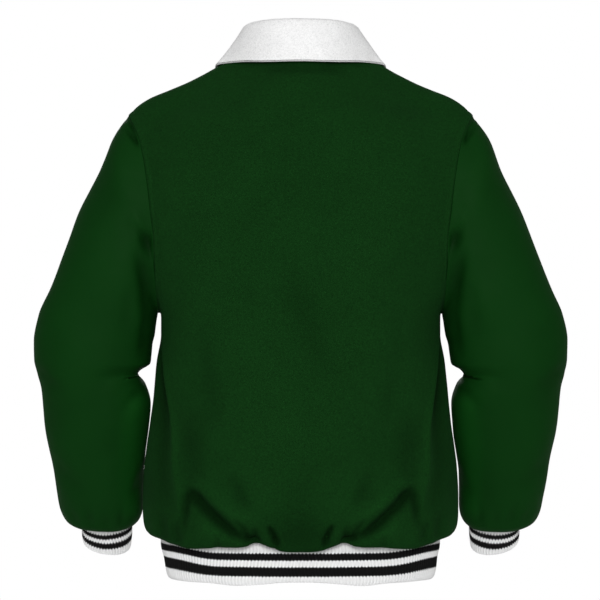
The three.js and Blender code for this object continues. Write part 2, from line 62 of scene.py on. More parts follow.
# z, half, back, front, gather
TORSO = np.array([
    (-571.7, 182.0, 113.5, 113.5, 0), (-573.5, 185.5, 117.0, 117.0, 0.1), (-583.0, 187.0, 119.5, 119.5, 0.6), (-590.0, 191.5, 125.0, 125.0, 1),
    (-588.0, 198.5, 131.0, 130.5, 1), (-576.0, 203.0, 134.5, 133.5, 0.8), (-552.0, 204.5, 135.0, 134.0, 0.45), (-522.0, 204.5, 134.0, 133.0, 0.2),
    (-490.0, 203.0, 131.0, 131.0, 0), (-460.0, 199.2, 128.0, 128.5, 0), (-428.0, 194.3, 124.5, 126.0, 0), (-392.0, 190.5, 121.0, 124.0, 0),
    (-352.0, 187.0, 118.5, 123.0, 0), (-318.0, 181.5, 117.5, 123.5, 0), (PIT_Z, 181.5, 118.0, 125.0, 0),
])
PIT_ROW = len(TORSO) - 1
TOP_ROW = PIT_ROW + PIT_ROWS
BACK_LINE = np.array([(-290, 118), (-180, 119), (-120, 117.5), (-80, 113), (-40, 104), (-6, 91), (21, 78), (38, 68.5), (44, 66)], float)
FRONT_LINE = np.array([(-290, 125), (-200, 126), (-146, 123), (-116, 117.5), (-87, 108), (-63, 96), (-44, 84), (-32, 75), (-28, 72)], float)
SHOULDER = np.array([(80, 41), (101, 33), (127, 19.5), (150, 8), (170, -0.5), (195, -11), (210, -20.5), (223.6, -34)], float)
# z, back, front
ARMHOLE = np.array([
    (-290, 181.5, 181.5), (-270, 184, 182), (-221, 187, 181), (-190, 188, 181.5), (-165, 191, 184), (-130, 195, 188),
    (-97, 200, 194), (-71, 206, 202), (-52, 213.5, 211), (-34, 223.6, 223.6),
])
ARM_DEEP = {1: 76.0, -1: 80.0}
# t, bend, round, reach
OUTLINE = np.array([
    (0, 2.6, 0.3846, 1), (0.09, 2.6, 0.43, 1), (0.2, 2.7, 0.58, 1), (0.36, 2.9, 0.85, 1), (0.5, 3.0, 1.0, 1),
    (0.67, 2.7, 1.3, 1), (0.75, 2.4, 1.8, 1), (0.833, 2, 2.8, 0.82), (0.917, 2, 3, 0.66), (1, 2, 3, 0.6),
])
GATHERS = {1: [(50.5, 5.6, 17), (142, -4.8, 28), (0, -1.4, 30)], -1: [(72, 6, 20), (150, 2.5, 20)]}
HEM_FLANK, HEM_SIDE = 4.5, 13.0
# z, turn, rise, sink
SIDE_FOLD = np.array([(-570, 43, 0, 0), (-540, 43, 1, 1.5), (-495, 47, 2, 3.5), (-445, 51, 2.5, 5), (-385, 61, 2, 8), (-350, 69, 1, 7.5), (-322, 80, 0, 0)], float)
FOLD_STEP, FOLD_WIDE = 9.0, 8.0
# outX, outZ, inX, inZ, y, deep, tip
SLEEVE = np.array([
    (243, -62, 184.2, -291, 1, 79, 0), (262, -108, 184.8, -294.5, 2, 78, 0), (287, -160, 185.8, -300, 3, 76, 0), (307.5, -215, 187.0, -308, 4, 73, 0),
    (324, -257, 188.6, -318, 4, 70, 0), (340, -292, 192.2, -330, 3, 68, 0), (346, -325, 194.0, -343, 2, 67, 0), (345.5, -350, 195.8, -355, 0, 66, 2),
    (342.5, -367, 213, -368, -3, 65, 4), (337.5, -386, 202.5, -384, -8, 66, 7), (335.5, -410, 196.3, -408, -15, 65, 10), (333, -443, 199.5, -441, -25, 63, 13),
    (326.5, -483, 204.3, -478, -37, 60, 16), (320.5, -522, 207.8, -517, -49, 56, 18), (316, -546, 208.8, -546, -58, 52, 19), (309, -558.5, 212.2, -558, -62, 47.5, 19),
    (298, -564, 218.2, -564.3, -64, 41, 19), (292, -561, 219, -561.5, -63, 36, 19), (291, -553, 219.2, -549.5, -59, 34.8, 19), (287, -549.7, 222, -546.2, -58, 31.5, 19),
])
CUFF = np.array([
    (287, -550.3, 222, -546.8, -58, 31.5, 19), (287.5, -563, 222.5, -561, -63, 31.5, 21), (289, -575.5, 223, -577, -68, 31.5, 26), (288.5, -588, 225, -597, -73, 30, 32),
])
# z, half, deep, dip
BAND = np.array([(-572.3, 181.0, 112.5, 0), (-590, 180.5, 113.5, 0.1), (-604, 177.0, 113.5, 0.4), (-617, 175.2, 113.0, 0.8), (-626, 173.0, 112.0, 1), (-630, 170.0, 110.0, 1)])
BAND_DIP = dict(x=80.0, wide=40.0, deep=5.0, side=2.5)
# angle, stand, lean, edgeX, edgeZ
COLLAR = np.array([
    (0, 40.5, 8, 0, 29), (30, 40.5, 8.5, 54, 29), (60, 39, 9.5, 96, 28), (90, 35, 10, 109, 27), (115, 27, 8, 106, -5),
    (140, 17, 5, 85, -42), (160, 9, 2, 59, -71), (176, 5, 0.5, 38, -84),
])
COLLAR_STEPS, COLLAR_LIFT = 22, 4.6


# ---------- helpers ----------
def cubic(xs, ys, v):
    """Monotone cubic through ys at xs, held flat outside. ys may have trailing axes."""
    xs, ys, v = np.asarray(xs, float), np.asarray(ys, float), np.asarray(v, float)
    h = np.diff(xs)
    shape = (-1,) + (1,) * (ys.ndim - 1)
    d = np.diff(ys, axis=0) / h.reshape(shape)
    m = np.empty_like(ys)
    m[0], m[-1] = d[0], d[-1]
    a, b = d[:-1], d[1:]
    with np.errstate(all="ignore"):
        inner = 2 * a * b / (a + b)
    m[1:-1] = np.where(a * b <= 0, 0, inner)
    w = np.clip(v, xs[0], xs[-1])
    k = np.clip(np.searchsorted(xs, w, side="right") - 1, 0, len(xs) - 2)
    tail = w.shape + (1,) * (ys.ndim - 1)
    hk = h[k].reshape(tail)
    s = ((w - xs[k]) / h[k]).reshape(tail)
    y0, y1, m0, m1 = ys[k], ys[k + 1], m[k] * hk, m[k + 1] * hk
    return y0 + m0 * s + (3 * (y1 - y0) - 2 * m0 - m1) * s * s + (2 * (y0 - y1) + m0 + m1) * s ** 3


def col(table, c, v):
    return cubic(table[:, 0], table[:, c], v)


def smooth(v):
    v = np.clip(v, 0, 1)
    return v * v * (3 - 2 * v)


def bell(v):
    return np.exp(-v * v)


def unit(v):
    return v / np.maximum(np.linalg.norm(v, axis=-1, keepdims=True), 1e-12)


# ---------- torso ----------
def neck_point(side, angle):
    c = np.cos(angle)
    z = NECK["sideZ"] + NECK["backRise"] * c if side > 0 else NECK["sideZ"] - NECK["frontDrop"] * np.maximum(0, c) ** NECK["frontPower"]
    return np.stack([NECK["half"] * np.sin(angle), side * (NECK["back"] if side > 0 else NECK["front"]) * c, z], -1)


def top_point(side, i):
    neck = neck_point(side, np.minimum(i / NECK_COLS, 1) * math.pi / 2)
    x = NECK["half"] + (i - NECK_COLS) / (COLS - NECK_COLS) * (TIP_X - NECK["half"])
    seam = np.stack([x, 0 * x, col(SHOULDER, 1, x)], -1)
    return np.where((i <= NECK_COLS)[..., None], neck, seam)


def hem_lift(side, x, gather):
    ax = np.abs(x)
    dz = sum(lift * bell((ax - gx) / wide) for gx, lift, wide in GATHERS[side])
    return gather * (dz + HEM_FLANK * smooth((ax - 15) / 50) + HEM_SIDE * (ax / 205) ** 5)


def side_fold(side, phi, z):
    if side < 0:
        return 0 * phi * z
    turn = np.degrees(phi)
    off = turn - col(SIDE_FOLD, 1, z)
    rise, sink = col(SIDE_FOLD, 2, z), col(SIDE_FOLD, 3, z)
    hollow = smooth((z + 560) / 50) * smooth((-400 - z) / 60)
    return smooth((90 - turn) / 10) * (rise * 1.5 * bell(off / 2.6) - 1.2 * sink * bell((off - FOLD_STEP - 1) / FOLD_WIDE) - 2.2 * hollow * bell((off + 7.5) / 5.5))


def torso(side, row, i):
    """Points of the half panel at fractional rows and columns (arrays of one shape)."""
    row, i = np.broadcast_arrays(np.asarray(row, float), np.asarray(i, float))
    phi = i / COLS * math.pi / 2
    across = np.sin(phi) ** (2 / SQUARE)
    index = np.arange(len(TORSO))
    low = np.minimum(row, PIT_ROW)
    z0, half, deep0, gather = (cubic(index, TORSO[:, c], low) for c in (0, 1, 2 if side > 0 else 3, 4))
    fold = side_fold(side, phi, z0)
    x0 = half * across
    y0 = deep0 * np.maximum(0, np.cos(phi)) ** (2 / SQUARE)
    lower = np.stack([x0 + fold * np.sin(phi), side * (y0 + fold * np.cos(phi)), z0 + hem_lift(side, x0, gather)], -1)
    t = np.clip((row - PIT_ROW) / PIT_ROWS, 0, 1)
    edge_z = (PIT_Z + TIP_Z) / 2 - (TIP_Z - PIT_Z) / 2 * np.cos(math.pi * t)
    edge_x = col(ARMHOLE, 1 if side > 0 else 2, edge_z)
    edge_y = ARM_DEEP[side] * np.maximum(0, np.sin(math.pi * t)) ** 0.85
    up = np.clip((edge_z - PIT_Z) / (TIP_Z - PIT_Z), 0, 1)
    w = 0.5 * up ** 1.5 + 0.5 * up ** 25
    top, middle = top_point(side, i), top_point(side, 0 * i)
    x = edge_x * ((1 - w) * across + w * top[..., 0] / TIP_X)
    z = edge_z + w * (top[..., 2] - TIP_Z)
    middle_z = edge_z + w * (middle[..., 2] - TIP_Z)
    line = BACK_LINE if side > 0 else FRONT_LINE
    deep = col(line, 1, middle_z)
    bend, rnd, reach = (col(OUTLINE, c, t) for c in (1, 2, 3))
    share = np.maximum(0, 1 - np.minimum(1, x / (edge_x * reach)) ** bend) ** rnd
    carry = smooth(t / 0.35)
    near = (1 - share) * carry + np.minimum(1, x / edge_x) ** 12 * (1 - carry)
    upper = np.stack([x, side * (deep * share + edge_y * near), z], -1)
    upper = np.where((t >= 1)[..., None], top, upper)
    return np.where((row <= PIT_ROW)[..., None], lower, upper)


def flip(p):
    return p * np.array([-1.0, 1, 1])


# ---------- folds and creases --------------------------
# Each is a run of (x, z, depth, half width): a trough where depth is above 0, a ridge where it is below.
def run(px, pz, pts, reach=4.0):
    """Displacement outwards of one run at points (px, pz)."""
    pts = np.asarray(pts, float)
    best = np.full(px.shape, 1e9)
    depth, wide = np.zeros(px.shape), np.ones(px.shape)
    for a, b in zip(pts[:-1], pts[1:]):
        d = b[:2] - a[:2]
        s = np.clip(((px - a[0]) * d[0] + (pz - a[1]) * d[1]) / max(d @ d, 1e-9), 0, 1)
        far = np.hypot(px - a[0] - s * d[0], pz - a[1] - s * d[1])
        closer = far < best
        best = np.where(closer, far, best)
        depth = np.where(closer, a[2] + s * (b[2] - a[2]), depth)
        wide = np.where(closer, a[3] + s * (b[3] - a[3]), wide)
    return -depth * bell(best / wide)


BACK_RUNS = [
    # the deep fold over the band and the rolls above and below it
    [(139, -512, 0, 8), (133, -521, 4.2, 9.5), (121, -535, 6.5, 7.5), (106, -549, 8, 7), (94, -559.5, 7.6, 6.5), (83, -567, 5.5, 5.5), (72, -572, 3.6, 5), (60, -576.5, 5.2, 4.4), (50, -580, 0, 4)],
    [(140, -498, 0, 10), (128, -508, -1.5, 9), (110, -523, -2.5, 9), (92, -538, -3, 9), (74, -549, -2.5, 8), (60, -556, 0, 7)],
    [(134, -556, 0, 16), (121, -560, -3, 15), (106, -570, -3, 13), (92, -577, 0, 10)],
    # its branch, and the small v beside it
    [(142, -508, 0, 4), (144.5, -522, 4, 5), (147.8, -540, 4.5, 6), (150, -556, 2.5, 6), (151, -568, 0, 5)],
    [(142, -508, 0, 4), (137, -517, 3.5, 4.5), (131, -525, 3, 4.5)],
    # short pleats at the gathers
    [(81, -548, 0, 4), (79.2, -552.5, 2.5, 4), (72, -561, 3.5, 4), (68, -567, 3.5, 4), (66.6, -576, 3, 4), (66, -584, 0, 4)],
    [(60, -556, 0, 5), (58, -568, 4.5, 5), (56, -579, 5, 5.5), (55, -590, 2, 6)],
    [(42, -555, 0, 2.8), (38.5, -561, 4.5, 2.9), (34.5, -568, 7.5, 3.1), (31.5, -576, 8, 3.3), (31.5, -584, 4, 3.8)],
    [(108, -566, 0, 4), (106, -573, 2, 4.5), (105, -582, 2.5, 5)],
    [(163, -552, 0, 6), (160, -562, 2, 6), (158, -574, 2.5, 7), (158, -584, 1, 7)],
    [(181, -540, 0, 6), (178, -556, 2, 7), (176, -574, 2.5, 8)],
    # soft drag lines
    [(92, -488, 0, 8), (87.8, -497, 1.2, 8), (79.2, -511, 2, 8), (73.9, -522.3, 2, 8), (69.4, -530.4, 1.2, 8), (66, -540, 0, 8)],
    [(136, -404, 0, 16), (136, -424, 1.0, 17), (135, -450, 1.5, 18), (133, -476, 1.6, 16), (131, -500, 1.1, 12), (131, -512, 0, 9)],
    [(126, -278, 0, 12), (125, -310, 0.6, 13), (121, -345, 1.0, 13), (114, -386.3, 1.2, 12), (107.1, -421.6, 0.8, 12), (99, -446, 0, 10)],
]
BACK_ONE = [
    [(30, -200, 0, 14), (23, -218, 0.6, 15), (12, -246, 0.9, 17), (1, -273, 1.1, 17), (-12, -306, 1.1, 17), (-24, -336, 1.1, 17), (-37, -374, 0, 16)],
    [(40, -322, 0, 6), (38.7, -330, 0.7, 7), (36, -340, 0, 6)],
    [(-4, -488, 0, 16), (2, -512, 0.8, 22), (0, -540, 1.5, 30), (-3, -575, 1.8, 32), (-3, -588, 1.4, 28)],
    [(6, -20, 0.5, 50), (0, -70, 0.8, 62), (0, -120, 0.7, 62), (2, -170, 0, 55)],
    [(54, 22, 0, 7), (34, 24, 1.8, 8), (-8, 24, 2.4, 8), (-44, 24, 1.8, 8), (-66, 21, 0, 7)],
    [(-96, -505, 0, 7), (-88, -520, 1.0, 7), (-84, -536, 0, 7)],
]
FRONT_RUNS = [
    [(150, -516, 0, 5), (140, -528, 3, 5), (126, -541, 4.5, 5.5), (110, -553, 5.5, 5.5), (95, -563, 5.5, 5), (80, -572, 4.5, 4.5), (66, -578, 0, 4)],
    [(152, -500, 0, 10), (138, -514, -2.5, 9), (120, -530, -4, 9), (100, -546, -4, 9), (80, -558, -3, 8), (66, -566, 0, 7)],
    [(146, -548, 0, 14), (132, -558, -3, 14), (116, -570, -2.5, 12), (100, -577, 0, 10)],
    [(74, -560, 0, 5), (74, -571, 3.5, 5), (73, -582, 4.5, 5.5), (72, -590, 2, 6)],
    [(48, -556, 0, 4), (46, -565, 2.5, 4.5), (45, -578, 3, 5), (45, -588, 1, 5)],
    [(124, -566, 0, 4), (123, -575, 2.5, 5), (122, -585, 1, 5)],
    [(170, -540, 0, 6), (167, -558, 2.5, 7), (165, -576, 2, 7)],
    [(158, -400, 0, 13), (156, -430, 2, 14), (152, -462, 3, 14), (146, -494, 1.5, 13), (142, -512, 0, 12)],
    [(140, -296, 0, 12), (133, -320, 1.4, 12), (122, -352, 1.8, 12), (112, -392, 1.4, 12), (100, -430, 0, 12)],
    [(168, -262, 0, 10), (160, -284, 1.8, 10), (147, -310, 2, 11), (132, -336, 1.2, 12), (118, -360, 0, 12)],
    [(70, -470, 0, 12), (62, -500, 1, 12), (56, -530, 0, 12)],
    [(96, -90, 0, 18), (104, -130, 1, 20), (116, -175, 0.8, 20), (124, -215, 0, 18)],
]
FRONT_ONE = [
    [(-58, -360, 0, 12), (-50, -395, 1.1, 12), (-46, -436, 0, 12)],
    [(44, -300, 0, 12), (50, -340, 1, 12), (52, -372, 0, 12)],
    [(-36, -505, 0, 8), (-34, -530, 1.3, 9), (-33, -556, 0, 8)],
]
# Sleeves, back half, on the +X side
SLEEVE_BACK_RUNS = [
    [(225, -38, 2, 3), (220, -45, 7, 3), (215, -54, 7, 3), (210, -62, 1, 3)],
    [(228, -50, 1, 3), (220, -59, 6, 3), (213, -67, 7, 3.4), (206.5, -77, 1, 3.5)],
    [(214, -160, 0, 5), (207, -173, -2.4, 4), (199, -183, -2.8, 4), (189, -192, -1, 4)],
    [(201, -185, 3, 7), (197, -193, 7, 9), (193, -204, 7.5, 9.5), (191, -214, 3, 8)],
    [(206, -218, 2, 8), (201, -234, 5.4, 10), (197, -255, 6.6, 10), (195, -278, 5.6, 9.5), (195, -300, 3.2, 8), (197, -326, 1.2, 7), (200, -346, 0, 6)],
    [(214, -248, 0, 8), (219, -272, 1.6, 9), (222, -300, 1.8, 10), (222, -326, 0, 10)],
    [(198, -290, 0, 5), (200, -312, 2.4, 6), (202, -334, 2.6, 6), (206, -352, 0, 6)],
    # the break at the elbow
    [(205, -360, 0, 5), (213, -368, 1, 6), (226, -374, 0.8, 8), (244, -381, 0.8, 10), (266, -387, 0.7, 12), (292, -390, 0, 12)],
    [(206, -364, 0, 6), (216, -371, -5, 8), (234, -377, -3, 9), (252, -384, 0, 10)],
    [(204, -386, 0, 6), (212, -396, 2.6, 7), (222, -410, 1.8, 8), (232, -424, 0, 8)],
    [(344, -352, 0, 6), (336, -366, 2.2, 8), (322, -380, 1.8, 9), (304, -394, 0, 10)],
    [(206, -482, 0, 6), (208, -502, 2.4, 6), (213, -520, 2.8, 7), (222, -534, 0, 7)],
    [(322, -470, 0, 7), (312, -492, 1.8, 9), (296, -512, 1.4, 10), (280, -526, 0, 10)],
    [(236, -440, 0, 12), (246, -466, 1.0, 13), (252, -492, 0, 12)],
    # gathers into the cuff
    [(232, -535, 0, 5), (232, -548, 1.0, 5), (233, -560, 2.2, 5.5), (234, -568, 1, 6)],
    [(256, -540, 0, 5), (255, -552, 0.8, 5), (254, -563, 1.8, 5.5), (254, -570, 1, 6)],
    [(280, -536, 0, 5), (278, -548, 1.0, 5), (276, -560, 2.2, 5.5), (275, -568, 1, 6)],
    [(300, -544, 0, 5), (298, -553, 1.2, 5), (295, -562, 1.6, 5.5)],
    [(332, -296, 0, 12), (318, -318, 0.9, 14), (300, -338, 0, 14)],
    [(250, -100, 0, 16), (254, -140, 0.9, 18), (250, -184, 0, 18)],
]
BACK_GAIN = 1.7
SLEEVE_FRONT_RUNS = [
    [(220, -44, 0, 4), (214, -52, 2, 4), (208, -62, 0, 4)],
    [(212, -84, 0, 7), (204, -112, 2, 8), (198, -146, 1.6, 9), (194, -180, 0, 8)],
    [(206, -190, 0, 8), (201, -216, 3, 9), (196, -246, 4.2, 10), (192, -276, 3, 9), (191, -304, 0, 8)],
    [(222, -232, 0, 9), (226, -262, 2, 10), (226, -296, 1.6, 11), (222, -326, 0, 10)],
    [(203, -352, 0, 6), (214, -362, 5, 7), (230, -366, 5, 8), (250, -368, 4, 9), (274, -368, 2.6, 10), (300, -364, 0, 12)],
    [(210, -340, 0, 9), (226, -346, -2.4, 9), (250, -350, -2, 10), (276, -352, 0, 12)],
    [(204, -388, 0, 6), (216, -396, 3.4, 7), (234, -400, 2.6, 8), (256, -400, 0, 9)],
    [(344, -344, 0, 6), (334, -356, 2.6, 8), (316, -364, 2.2, 9), (296, -368, 0, 10)],
    [(206, -470, 0, 7), (212, -492, 2.4, 8), (224, -512, 2, 8), (240, -526, 0, 9)],
    [(320, -480, 0, 7), (306, -500, 2, 9), (288, -518, 0, 10)],
    [(240, -530, 0, 5), (240, -546, 2.2, 5), (241, -560, 2.8, 5.5)],
    [(268, -530, 0, 5), (267, -548, 2.4, 5), (266, -562, 2.6, 5.5)],
    [(294, -532, 0, 5), (292, -548, 2, 5), (290, -560, 2, 5.5)],
]


def waves(p, seed, size, height):
    """Soft seeded unevenness: a sum of a few plane waves, size apart, in mm."""
    rng = np.random.default_rng(seed)
    total = np.zeros(p.shape[:-1])
    for _ in range(9):
        k = unit(rng.normal(size=3)) * 2 * math.pi / (size * rng.uniform(0.7, 1.5))
        total += np.sin(p @ k + rng.uniform(0, 2 * math.pi))
    return total * height / 3


# ---------- closed shells from grids ----------
def grid_normals(g, closed):
    """Unit normals of a grid, rows by columns; columns may close round."""
    if closed:
        wrap = np.concatenate([g[:, -1:], g, g[:, :1]], 1)
        dc = wrap[:, 2:] - wrap[:, :-2]
    else:
        dc = np.empty_like(g)
        dc[:, 1:-1] = g[:, 2:] - g[:, :-2]
        dc[:, 0], dc[:, -1] = g[:, 1] - g[:, 0], g[:, -1] - g[:, -2]
    dr = np.empty_like(g)
    dr[1:-1] = g[2:] - g[:-2]
    dr[0], dr[-1] = g[1] - g[0], g[-1] - g[-2]
    return unit(np.cross(dc, dr))


def make_object(name, verts, faces, uvs, material, nap_and_painted_shade=None):
    """A smooth mesh object from arrays in mm. uvs holds one pair for each corner, and the last argument one value for
    each point: painted shade above 0, painted light below 0.
    """
    me = bpy.data.meshes.new(name)
    me.from_pydata((np.asarray(verts) * MM).tolist(), [], faces)
    layer = me.uv_layers.new(name="Knit")
    layer.uv.foreach_set("vector", np.asarray(uvs, np.float32).ravel())
    if nap_and_painted_shade is not None:
        me.attributes.new("PaintedShadeAndLight", "FLOAT", "POINT").data.foreach_set("value", np.asarray(nap_and_painted_shade, np.float32))
    me.validate()
    me.update()
    for p in me.polygons:
        p.use_smooth = True
    ob = bpy.data.objects.new(name, me)
    bpy.context.scene.collection.objects.link(ob)
    me.materials.append(material)
    return ob


def shell(name, g, uv, closed, outward, inward, material, base=None, sign=1, nap_and_painted_shade=None):
    """A closed wall with rounded edges. g is the surface, outward and inward the layers' distances from it. base is a smoother surface for the inner layer."""
    R, C = g.shape[:2]
    n = grid_normals(g, closed) * sign
    thick = outward + inward
    inner_from = g if base is None else base
    n_in = n if base is None else grid_normals(base, closed) * sign
    outer, inner = g + n * outward, inner_from - n_in * inward
    if closed:
        loops = [[(0, c) for c in range(C)], [(R - 1, c) for c in range(C)]]
    else:
        loops = [[(0, c) for c in range(C)] + [(r, C - 1) for r in range(1, R)] + [(R - 1, c) for c in range(C - 2, -1, -1)] + [(r, 0) for r in range(R - 2, 0, -1)]]
    verts = [outer.reshape(-1, 3), inner.reshape(-1, 3)]
    # Painted shade and light for each point: none on the inner layer, the outer point's own on the rounded edges.
    painted_tone = (np.zeros(R * C) if nap_and_painted_shade is None else nap_and_painted_shade.ravel())
    painted_tones = [painted_tone, 0 * painted_tone]
    at = lambda r, c: r * C + c % C
    count = R * C
    faces, corner = [], []
    u = uv.reshape(-1, 2)
    # One turn of u, so that the seam column of a tube keeps its coordinates in order.
    turn = (uv[:, -1, 0] + (uv[:, -1, 0] - uv[:, -2, 0]))[:, None] if closed else None
    cols = C if closed else C - 1
    rr, cc = np.meshgrid(np.arange(R - 1), np.arange(cols), indexing="ij")
    a, b, d, e = (x.ravel() for x in (rr * C + cc, rr * C + (cc + 1) % C, (rr + 1) * C + (cc + 1) % C, (rr + 1) * C + cc))
    quads = np.stack([a, b, d, e], 1)
    quv = u[quads].copy()
    if closed:
        last = cc.ravel() == C - 1
        quv[last, 1, 0] = turn[rr.ravel()[last], 0]
        quv[last, 2, 0] = turn[rr.ravel()[last] + 1, 0]
    out_first = sign > 0
    q_out, uv_out = (quads, quv) if out_first else (quads[:, ::-1], quv[:, ::-1])
    q_in, uv_in = ((quads + count)[:, ::-1], quv[:, ::-1]) if out_first else (quads + count, quv)
    faces = np.concatenate([q_out, q_in]).tolist()
    corner = np.concatenate([uv_out.reshape(-1, 2), uv_in.reshape(-1, 2)])
    moved = g.copy()
    start = 2 * count
    # Directions out of the piece in its own surface, for each border point.
    pull = np.zeros_like(g)
    edge_dir = lambda p, q: unit(p - q)
    for row, nxt in ((0, 1), (R - 1, R - 2)):
        pull[row] += edge_dir(inner_from[row], inner_from[nxt])
    if not closed:
        for c, nxt in ((0, 1), (C - 1, C - 2)):
            pull[:, c] += edge_dir(inner_from[:, c], inner_from[:, nxt])
    mid = (outward - inward) / 2
    extra = []
    for loop in loops:
        idx = np.array([at(r, c) for r, c in loop])
        out_dir = pull.reshape(-1, 3)[idx]
        nn = n.reshape(-1, 3)[idx]
        # Sewn edges touch, as a closed seam does.
        edge = g.reshape(-1, 3)[idx] - out_dir * (thick / 2 - 0.05) + nn * mid
        ring = [idx]
        for angle in (45, 0, -45):
            t = math.radians(angle)
            pts = edge + out_dir * math.cos(t) * thick / 2 + nn * math.sin(t) * thick / 2
            ring.append(start + np.arange(len(idx)))
            extra.append(pts)
            painted_tones.append(painted_tone[idx])
            start += len(idx)
        ring.append(idx + count)
        verts[0][idx] = edge + nn * thick / 2
        verts[1][idx] = edge - nn * thick / 2
        uvl = u[idx]
        nxt = np.roll(np.arange(len(idx)), -1)
        uvn = uvl[nxt].copy()
        if closed:
            uvn[-1, 0] = turn[loop[0][0], 0]
        first_row = closed and loop[0][0] == 0
        for lo, hi in zip(ring[:-1], ring[1:]):
            q = np.stack([lo, lo[nxt], hi[nxt], hi], 1)
            w = np.stack([uvl, uvn, uvn, uvl], 1)
            # The open grid's loop runs with the outer faces' own direction reversed; a tube's last row runs the other way.
            away = not closed or first_row
            if away == out_first:
                q, w = q[:, ::-1], w[:, ::-1]
            faces += q.tolist()
            corner = np.concatenate([corner, w.reshape(-1, 2)])
    return make_object(name, np.concatenate(verts + extra), faces, corner, material, np.concatenate(painted_tones))


def lengths(p, axis):
    """Running length along an axis of a grid."""
    step = np.linalg.norm(np.diff(p, axis=axis), axis=-1)
    pad = [(0, 0), (0, 0)]
    pad[axis] = (1, 0)
    return np.cumsum(np.pad(step, pad), axis=axis)


def spread(values, points, step, ends=(True, True)):
    """Values resampled so that the points at them are a step apart, closer at the ends."""
    along = np.concatenate([[0], np.cumsum(np.linalg.norm(np.diff(points, axis=0), axis=1))])
    total = along[-1]
    n = max(2, int(round(total / step)))
    want = list(np.linspace(0, total, n + 1))
    near = [1.3]
    want += near if ends[0] else []
    want += [total - v for v in near] if ends[1] else []
    return np.interp(sorted(want), along, values)


def settle(g, side, closed_top=True):
    """Evens out the depth of the upper rows, away from their seams."""
    y = g[..., 1].copy()
    for _ in range(60):
        avg = y.copy()
        avg[1:-1] = (y[:-2] + 2 * y[1:-1] + y[2:]) / 4
        y = avg
    across = lengths(g, 1)
    to_edge = np.minimum(across[:, -1:] - across, 1e3) if side < 0 else np.minimum(across[:, -1:] - across, across)
    z = g[..., 2]
    up = lengths(g, 0)
    to_top = up[-1:] - up
    weight = smooth((to_edge - 6) / 30) * smooth((to_top - 25) / 50) * smooth((z + 380) / 60)
    out = g.copy()
    out[..., 1] = g[..., 1] * (1 - weight) + y * weight
    return out


ROW_STEP, COL_STEP = 3.3, 3.5
fine = np.linspace(0, TOP_ROW, 2600)


def torso_rows(side):
    """Row values spaced along a line down the panel."""
    line = torso(side, fine, np.full(fine.shape, 4.0))
    return spread(fine, line, ROW_STEP)


def column_values(side):
    steps = np.linspace(0, COLS, 1500)
    line = torso(side, np.full(steps.shape, 8.0), steps)
    return spread(steps, line, COL_STEP, (False, True))


def displaced(g, normal, amount):
    return g + normal * amount[..., None]


def painted_shade_of(d):
    """Painted tone from the displacement: painted shade in the troughs (above 0), painted light on the ridges (below
    0).
    """
    return np.clip(-d / 8.0, 0, 1) - 0.5 * np.clip(d / 5.0, 0, 1)


def back_panel():
    rows, cols = torso_rows(1), column_values(1)
    half = torso(1, rows[:, None], cols[None, :])
    g = np.concatenate([flip(half[:, :0:-1]), half], 1)
    g = settle(g, 1)
    n = grid_normals(g, False)
    n *= np.sign(n[..., 1:2].mean())
    x, z = g[..., 0], g[..., 2]
    # The turned-in rows under the blouse carry no creases.
    under = smooth((rows - 2.2) / 1.6)[:, None]
    d = np.zeros(x.shape)
    for pts in BACK_RUNS:
        flipped = [(-a, b + 1.5, c * 0.94, w) for a, b, c, w in pts]
        d += BACK_GAIN * (run(x, z, pts) + run(x, z, flipped))
    for pts in BACK_ONE:
        d += 1.7 * run(x, z, pts)
    d += waves(g, 11, 95, 0.5) + waves(g, 12, 38, 0.14)
    across = lengths(g, 1)
    to_edge = np.minimum(across, across[:, -1:] - across)
    above = smooth((z - PIT_Z + 6) / 12)
    up = lengths(g, 0)
    d *= under * smooth(to_edge / 14) * smooth((up[-1:] - up) / 8)
    d += above * (1.1 * bell((to_edge - 3.4) / 2.8)) * smooth((up[-1:] - up) / 8)
    out = displaced(g, n, d)
    mid = g.shape[1] // 2
    uv = np.stack([across - across[:, mid:mid + 1], up], -1) * MM
    turn = np.concatenate([cols[:0:-1], cols])[None, :] / COLS * math.pi / 2
    # Painted shade in the troughs and along the side folds, painted light on the ridges.
    painted_tone = painted_shade_of(d + np.where((rows <= PIT_ROW)[:, None], 0.72 * side_fold(1, turn, z), 0))
    # More painted shade over the flanks behind the side folds, which turn away from the light, and across the hem's
    # middle, where it is drawn in.
    past = np.degrees(turn) - col(SIDE_FOLD, 1, z)
    painted_tone += 0.18 * smooth((past - 3) / 6) * smooth((93 - np.degrees(turn)) / 8) * smooth((-345 - z) / 30) * smooth((z + 560) / 60)
    painted_tone += 0.34 * bell((x - 6) / 60) * bell((z + 566) / 24)
    return out, uv, np.clip(painted_tone, -1, 1)


